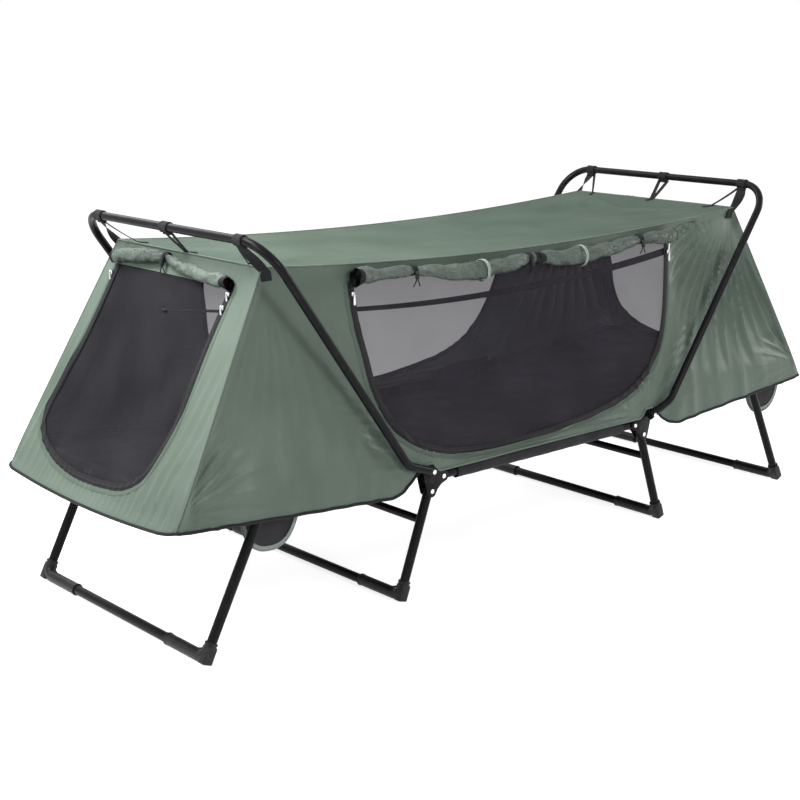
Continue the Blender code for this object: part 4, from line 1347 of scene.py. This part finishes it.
def make_straps(end_name, end):
    bar_x, bar_z = end * (pivot_x + hoop_bar[0]), pivot_z + hoop_bar[1]
    body = end_name + "_hoop_body"
    half_collar = [(-0.0145, 0.0098), (-0.0142, 0.0118), (-0.0120, 0.0126), (-0.0095, 0.0121), (0.0, 0.0123)]
    steps = half_collar + [(0.0095, 0.0121), (0.0120, 0.0127), (0.0142, 0.0118), (0.0145, 0.0098)]
    for where, y in (("near", -strap_y), ("middle", 0.0), ("far", strap_y)):
        collar = turned(f"collar_{end_name}_{where}", (bar_x, bar_z), [(y + a, r) for a, r in steps],
                        strap_black, 28)
        tail = block(f"collar_fold_{end_name}_{where}", (bar_x - end * 0.004, y, bar_z - 0.0135),
                     (0.010, 0.026, 0.006), strap_black, 0.0, 0.0018)
        ride(join(collar.name, [collar, tail]), body, "webbing", f"strap_{end_name}_{where}")
    low = bar_z - 0.0125
    lift = 0.0016
    for side_name, side in sides_named:
        y = side * strap_y
        strap_between(f"strap_{end_name}_{side_name}_wide", (bar_x - end * 0.003, y, low),
                      on_wall(end * (top_x - 0.008), 0.786, side, lift),
                      on_wall(end * (top_x - 0.010), 0.768, side, lift),
                      (0, side, 0), (1, 0, 0), (0.026, 0.028), (end * 0.004, side * 0.004, 0.002), body)
        strap_between(f"strap_{end_name}_{side_name}_thin", (bar_x - end * 0.002, y - side * 0.012, low),
                      on_roof(end * (top_x - 0.012), side * 0.215, lift),
                      on_roof(end * (top_x - 0.034), side * 0.205, lift),
                      (0, 1, 0), (0.4, 0.9, 0), (0.009, 0.009), (0, 0, -0.002), body)
    for k, y in enumerate((-0.030, 0.022)):
        strap_between(f"strap_{end_name}_middle_{k}", (bar_x - end * 0.003, y * 0.55, low + 0.001),
                      on_roof(end * (top_x - 0.002), -0.004 + 0.006 * k, lift),
                      on_roof(end * (top_x - 0.026), -0.002, 0.0017 + 0.0008 * k),
                      (0, 1, 0), (0, 1, 0), (0.011, 0.011), (0, 0, -0.001), body)


# Bed: sheet, flaps, sleeves and pockets


def bed_height(x):
    """The bed's cloth lies at the rails' height, and past the hinges at the end frames'."""
    far = np.abs(x)
    on_frame = pivot_z + (far - pivot_x) * math.tan(end_frame_rise)
    share = fade(far, 0.345, 0.440)
    return rail_z * (1 - share) + on_frame * share


def make_bed():
    last = pivot_x + math.cos(end_frame_rise) * (end_frame_length - 0.012)
    half, by_plates, corner = 0.3215, 0.0105, 0.060
    middle_sag, fold_depth, ripple_depth = 0.012, 0.0022, 0.0012
    for end_name, end in ends_named:
        x = np.concatenate([np.linspace(0, 0.32, 50), np.linspace(0.32, 0.46, 36)[1:],
                            np.linspace(0.46, last, 80)[1:]])
        aside = np.linspace(-1, 1, 56)[:, None]
        into = np.clip(x - (last - 0.058), 0, 0.058)
        reach = half - by_plates * between(x, 0.312, 0.322, 0.410, 0.440)
        reach = reach - (corner - np.sqrt(corner ** 2 - into ** 2))
        y = aside * reach[None]
        grid_x = np.broadcast_to(end * x, y.shape)
        folds = fold_depth * ridges(9 * aside + 3 * grid_x, 0.7) * between(x, 0.30, 0.42, 0.46, 0.60)
        folds = folds + ripple_depth * (1 + ripple(3 * grid_x, 3 * y))
        sag = middle_sag * (1 - aside ** 2) + folds * (1 - aside ** 4)
        points = grid_of(grid_x, y, bed_height(x)[None] - sag)
        sheet = lay_cloth("bed_sheet_" + end_name, points, grid_of(grid_x, y), bed_black, up,
                          0.0010)
        section_blend(sheet, end, "bed_cloth", "bed_" + end_name, "bed_mid")


def make_gusset(end_name, end, side_name, side):
    """A low flap between the bed's edge and the canopy's hem, taller beside the hinge."""
    length, top, taller, start_y = 0.446, 0.306, 0.030, 0.3118
    x = np.linspace(0.0, length, 56)
    share = np.linspace(0, 1, 6)[:, None]
    low = bed_height(x)[None] - 0.004
    high = top + taller * fade(x, 0.230, 0.290)[None] + 0.001 * np.sin(60 * x)[None]
    z = low + (high - low) * share
    y = side * (start_y + 0.0010 * np.sin(50 * x)[None] * share - 0.004 * share)
    flap = lay_cloth(f"gusset_{side_name}_{end_name}", grid_of(end * x, y, z), grid_of(end * x, z),
                     bed_black, across * side)
    section_blend(flap, end, "bed_cloth")


def make_end_flap(end_name, end):
    """The black flap that joins the bed's end to the foot of the sloping end."""
    half, length, top, start_x, reach = 0.305, 0.04, 0.3595, 1.0270, 0.0245
    y = np.linspace(-half, half, 60)
    share = np.linspace(0, 1, 7)[:, None]
    z = top - 0.0035 * share - 0.030 * share ** 2 + 0.0008 * np.sin(80 * y)[None] * share
    flap = lay_cloth("end_flap_" + end_name, grid_of(end * (start_x + reach * share), y, z),
                     grid_of(length * share, y), bed_black, up)
    ride(flap, end_name + "_section", "bed_cloth")


def sleeve(name, path, radius, seam_way, body, tall=1.0):
    """A cloth sleeve round a tube, with a stitched lap along it and slight drag lines."""
    path = np.array(path, float)
    ahead = unit(np.gradient(path, axis=0))
    first = np.broadcast_to(np.array(seam_way, float), path.shape)
    first = unit(first - ahead * np.sum(first * ahead, axis=1)[:, None])
    other = np.cross(ahead, first)
    run = run_along(path)
    turn = np.linspace(math.radians(-8), math.tau + math.radians(14), 30)
    lap_depth, drag_depth, seam_depth, seam_half = 0.00108, 0.0004, 0.0012, 0.25
    lap = lap_depth * np.clip(turn - math.tau * 0.9, 0, 1)[None]
    drag = drag_depth * np.sin(5 * turn[None] + 70 * run[:, None]) * np.sin(37 * run[:, None])
    seam = seam_depth * np.exp(-((np.mod(turn[None] + 0.3, math.tau) - 0.3) / seam_half) ** 2)
    reach = radius + lap + drag + seam
    points = (path[:, None] + first[:, None] * (reach * np.cos(turn[None]))[:, :, None]
              + other[:, None] * (reach * np.sin(turn[None]))[:, :, None])
    points[:, :, 2] += (points[:, :, 2] - path[0][2]) * (tall - 1)
    piece = sheet_grid(name, points, grid_of(run[:, None], (turn * radius)[None]), sleeve_black)
    face_from(piece, path[0])
    declare(piece)
    thicken(piece, 0.0008)
    smooth(piece, 40)
    ride(piece, body, "bed_cloth")


def frame_ways(end):
    """An end frame's pivot, and the ways out along its tubes and square down from them."""
    out = Vector((end * math.cos(end_frame_rise), 0, math.sin(end_frame_rise)))
    down = Vector((end * math.sin(end_frame_rise), 0, -math.cos(end_frame_rise)))
    return Vector((end * pivot_x, 0, pivot_z)), out, down


def frame_path(end, start, finish):
    """Along an end frame's near tube, round its bar and back, between the distances out."""
    pivot, out, _ = frame_ways(end)
    side = across * tube_y
    bar = pivot + out * finish
    return rounded([pivot + out * start - side, bar - side, bar + side, pivot + out * start + side],
                   [end_frame_corner] * 2)


def divided(start, finish, count):
    return [start.lerp(finish, k / count) for k in range(count)]


def make_sleeves():
    for side_name, side in sides_named:
        path = [(x, side * tube_y, rail_z) for x in np.linspace(-0.290, 0.290, 110)]
        sleeve("sleeve_mid_" + side_name, path, 0.0133, (0, -side, 0), "bed_middle", 1.24)
    for end_name, end in ends_named:
        start, *arcs, last = frame_path(end, 0.100, end_frame_length)
        half = len(arcs) // 2
        near_arc, far_arc = arcs[:half], arcs[half:]
        path = [*divided(start, near_arc[0], 60), *near_arc[:-1], *divided(near_arc[-1], far_arc[0], 60),
                *far_arc[:-1], *divided(far_arc[-1], last, 60), last]
        middle = Vector((end * (pivot_x + 0.3), 0, 0))
        inward = [(middle - Vector((p.x, p.y, 0))).normalized() for p in path]
        sleeve("sleeve_" + end_name, path, 0.0132, inward, end_name + "_section")


def make_pocket(end_name, end, start):
    """A half-round bag of two cloths with a bound edge, hung from the bed on the near side."""
    half_width, depth, pocket_y, crumple_depth = 0.080, 0.131, 0.300, 0.0012
    pivot, out, down = frame_ways(end)
    middle = np.array(pivot - across * pocket_y + out * (start + 0.070) + down * 0.003)
    out, down = np.array(out), np.array(down)
    turn = np.linspace(0, math.pi, 37)
    share = np.linspace(0, 1, 20)[:, None]
    wide = half_width * np.sign(np.cos(turn)) * np.abs(np.cos(turn)) ** 0.80
    deep = depth * np.abs(np.sin(turn)) ** 0.85
    flat = grid_of(wide[None] * share, deep[None] * share)
    crumple = crumple_depth * np.sin(52 * flat[:, :, 0] + 20 * flat[:, :, 1]) * (1 - share ** 4)
    pieces = []
    for name, way, bulge in (("front", -1, 0.0042), ("back", 1, 0.0016)):
        puff = (bulge * (1 - share ** 2) + crumple)[:, :, None]
        points = middle + out * flat[:, :, :1] + down * flat[:, :, 1:] + np.array([0, way, 0]) * puff
        pieces.append(lay_cloth(f"pocket_{end_name}_{name}", points, flat, pocket_charcoal, across * way))
    line = middle + out * wide[:, None] + down * deep[:, None]
    name = "pocket_binding_" + end_name
    edge = ribbon(name, line, np.broadcast_to(across, line.shape), 0.0070, 0.0010, binding_grey, 0.0030, 9)
    inner = line - (line - middle) * 0.055
    tapes = [ribbon(f"pocket_tape_{end_name}_{k}", inner + np.array([0, y, 0]), line - middle, 0.0085, 0.0008,
                    binding_grey, 0.0004) for k, y in enumerate((-0.0030, 0.0030))]
    body = end_name + "_section"
    ride(pieces[0], body, "pocket_cloth", "pocket_" + end_name)
    ride(pieces[1], body, "pocket_cloth")
    ride(join(name, [edge, *tapes]), body, "pocket_cloth")


# Frame


def plate_outline(end):
    """Three round lobes about the pins, with a waist along the lower side."""
    lobe, waist, lobe_steps = 0.014, 0.006, 8
    centres = [(pivot_x, pivot_z), (rail_x, rail_z), (leg_x, leg_z)]
    outline = []
    for k, (x, z) in enumerate(centres):
        before, after = centres[k - 1], centres[(k + 1) % 3]
        first = math.atan2(before[0] - x, z - before[1])
        away = math.atan2(x - after[0], after[1] - z)
        last = away if away > first else away + math.tau
        for step in range(lobe_steps + 1):
            turn = first + (last - first) * step / lobe_steps
            outline.append((x + lobe * math.cos(turn), z + lobe * math.sin(turn)))
        for share in (0.3, 0.5, 0.7) if k == 1 else ():
            pull = lobe - waist * (1 - (2 * share - 1) ** 2)
            outline.append((x + (after[0] - x) * share + pull * math.cos(away),
                            z + (after[1] - z) * share + pull * math.sin(away)))
    outline = [(end * x, z) for x, z in outline]
    return outline if end > 0 else outline[::-1]


def rivet_head(name, centre, face, way, radius=0.0054, high=0.0024):
    dome = ((0, 0.96), (0.25, 1), (0.6, 0.86), (0.9, 0.55), (1, 0.22))
    steps = [(face + way * high * rise, radius * share) for rise, share in dome]
    return turned(name, centre, steps, rivet_bright)


def make_hinge(end_name, end, side_name, side):
    corner = side_name + "_" + end_name
    outline = plate_outline(end)
    for which, y in (("outer", plate_out), ("inner", plate_in)):
        made = plate(f"plate_{which}_new_{corner}", [(x, side * y, z) for x, z in outline],
                     (0, side * plate_sheet, 0), plate_black, 0.0006, 50)
        ride(made, "bed_middle", "plate_steel", f"plate_{which}_{corner}")
    # The flange along the plates' top edge is painted bright: a painted highlight of the folded edge catching
    # the light.
    flange_y = side * (plate_out - 0.004)
    low = np.array([end * (rail_x - 0.004), flange_y, rail_z + 0.0135])
    high = np.array([end * (pivot_x - 0.013), flange_y, pivot_z + 0.0105])
    line = low + (high - low) * np.linspace(0, 1, 8)[:, None]
    flange = ribbon("plate_flange_" + corner, line, np.broadcast_to(across, line.shape), 0.010, 0.0016,
                    flange_painted_highlight, 0.0004)
    ride(flange, "bed_middle", "plate_steel")
    face = plate_out + plate_sheet
    back = plate_in - 0.0003
    for name, x, z, front, nodes in (
        ("rail", rail_x, rail_z, face, []),
        ("leg", leg_x, leg_z, face, ["leg_rivet_" + corner]),
        ("hoop", pivot_x, pivot_z, hoop_y + hoop_radius, ["hoop_rivet_" + corner]),
    ):
        centre = (end * x, z)
        parts = [rivet_head(f"{name}_rivet_head_{corner}", centre, side * front, side),
                 rivet_head(f"{name}_rivet_tail_{corner}", centre, side * back, -side),
                 turned(f"{name}_shank_{corner}", centre, [(side * back, 0.004), (side * front, 0.004)],
                        rivet_bright, 16)]
        if name == "hoop":
            stop = hoop_y - hoop_radius
            steps = [(side * (face + 0.0002), 0.0076), (side * (face + 0.0006), 0.0080),
                     (side * (stop - 0.0002), 0.0080)]
            parts.append(turned(f"collar_{corner}", centre, steps, foot_black, 20))
        ride(join(f"{name}_rivet_{corner}_new", parts), "bed_middle", "rivet_steel", *nodes)


def make_rails():
    for side_name, side in sides_named:
        reach = rail_x + 0.011
        path = [(x, side * tube_y, rail_z) for x in (-reach, -reach + 0.0015, reach - 0.0015, reach)]
        rail = bent_tube("rail_tube_" + side_name, path, tube_radius, tube_black, 28, [0.88, 1, 1, 0.88])
        ride(rail, "bed_middle", "black_steel", "rail_" + side_name)


def make_foot(name, corner, rise, inward, body, node):
    """A moulded corner foot: an elbow with two lips, a heel that is flat on the ground, and a web."""
    elbow = rounded([corner + rise * 0.034, corner, corner + inward * 0.140], [0.024])
    parts = [bent_tube(name + "_elbow", elbow, cap_radius, foot_black, 26)]
    for k, (ahead, at) in enumerate(((rise, 0.0325), (inward, 0.1375))):
        line = [corner + ahead * (at + step) for step in (-0.0026, -0.0018, 0.0018, 0.0026)]
        parts.append(bent_tube(f"{name}_lip{k}", line, cap_radius + 0.0009, foot_black, 26,
                               [0.94, 1, 1, 0.94]))
    heel = block(name + "_heel", corner - inward * 0.0010 + rise * 0.0075, (0.0255, 0.0245, 0.0400),
                 foot_black, math.atan2(rise.x, rise.z), 0.0042, 4)
    points = points_of(heel.data)
    points[:, 2] = np.maximum(points[:, 2], 0.0)
    move_points(heel.data, points)
    half_web = Vector((rise.z, 0, -rise.x)) * 0.0030
    spots = ((0.004, 0), (0.029, 0), (0.016, 0.026), (0.0095, 0.050), (0, 0.085), (0, 0.02))
    web = [corner - half_web + rise * high + inward * along for high, along in spots]
    parts += [heel, plate(name + "_gusset", web, 2 * half_web, foot_black, 0.0012, 40)]
    ride(join("foot_" + node, parts), body, "black_plastic", "cap_" + node)


def make_leg(which, top, end_name, end, splay, crossbar):
    """A U-shaped leg with its ground bar, cross tube and moulded corner feet."""
    name = f"{end_name}_{which}_leg"
    foot = Vector((top[0] + end * splay, 0, ground_z))
    head = Vector((top[0], 0, top[1]))
    rise = (head - foot).normalized()
    start = head + rise * 0.011
    side = across * tube_y
    path = rounded([start - side, foot - side, foot + side, start + side], [0.030, 0.030])
    parts = [bent_tube(name + "_tube", path, tube_radius, tube_black)]
    if crossbar:
        place, half = head.lerp(foot, 0.28), across * (tube_y - 0.004)
        parts.append(bent_tube(name + "_cross", [place - half, place + half], 0.0095, tube_black, 24))
    ride(join(name + "_new", parts), name + "_body", "black_steel", name)
    for side_name, way in sides_named:
        make_foot(f"{name}_{side_name}", foot + side * way, rise, across * -way, name + "_body",
                  f"{end_name}_{which}_{side_name}")


def make_end_frame(end_name, end):
    """The end's folding frame with the saddles and pins that carry its leg."""
    pivot, out, down = frame_ways(end)
    parts = [bent_tube(end_name + "_frame_tube", frame_path(end, -0.011, end_frame_length), tube_radius,
                       tube_black)]
    lean = math.atan2(-down.x, -down.z)
    for side_name, side in sides_named:
        axle = pivot + out * end_leg_out + across * side * tube_y
        name = f"{end_name}_{side_name}"
        for k, y in enumerate((-0.0129, 0.0129)):
            parts.append(block(f"{name}_cheek{k}", axle + down * 0.0265 + across * y, (0.024, 0.0018, 0.033),
                               plate_black, lean, 0.0006, 2))
        parts.append(block(name + "_saddle", axle + down * 0.0118, (0.024, 0.0276, 0.0030), plate_black, lean,
                           0.0006, 2))
        centre = axle + down * bracket_drop
        for way in (-1, 1):
            parts.append(rivet_head(f"{name}_pin{way + 1}", (centre.x, centre.z), centre.y + way * 0.0138,
                                    way, 0.0062, 0.0022))
    ride(join(end_name + "_frame_new", parts), end_name + "_section", "black_steel", end_name + "_frame")


def make_hoop(end_name, end):
    pivot = Vector((end * pivot_x, 0, pivot_z))
    side = across * hoop_y
    bend = pivot + Vector((end * hoop_crank[0], 0, hoop_crank[1]))
    bar = pivot + Vector((end * hoop_bar[0], 0, hoop_bar[1]))
    start = pivot - (bend - pivot).normalized() * 0.011
    path = rounded([start - side, bend - side, bar - side, bar + side, bend + side, start + side],
                   [hoop_crank_radius, hoop_corner, hoop_corner, hoop_crank_radius], 14)
    hoop = bent_tube(end_name + "_hoop_new", path, hoop_radius, tube_black)
    ride(hoop, end_name + "_hoop_body", "black_steel", end_name + "_hoop")


place_camera()
light_studio()
lay_floor()

for side_name, side in sides_named:
    make_wall(side_name, side)
    make_door_roll(side_name, side)
for end_name, end in ends_named:
    make_end(end_name, end)
    make_window_roll(end_name, end)
    make_straps(end_name, end)
make_roof()
make_seams()
make_sliders()
make_inner_strap()
make_bed()
for end_name, end in ends_named:
    for side_name, side in sides_named:
        make_gusset(end_name, end, side_name, side)
make_sleeves()
make_pocket("head", -1, 0.340)
make_pocket("foot", 1, 0.482)
make_rails()
for end_name, end in ends_named:
    make_end_flap(end_name, end)
    for side_name, side in sides_named:
        make_hinge(end_name, end, side_name, side)
    make_end_frame(end_name, end)
    make_hoop(end_name, end)
    make_leg("mid", (end * leg_x, leg_z), end_name, end, mid_leg_splay, True)
    rise, run = math.sin(end_frame_rise), math.cos(end_frame_rise)
    pin = (end * (pivot_x + end_leg_out * run + bracket_drop * rise),
           pivot_z + end_leg_out * rise - bracket_drop * run)
    make_leg("end", pin, end_name, end, end_leg_splay, False)

bpy.context.scene.view_settings.view_transform = "Standard"
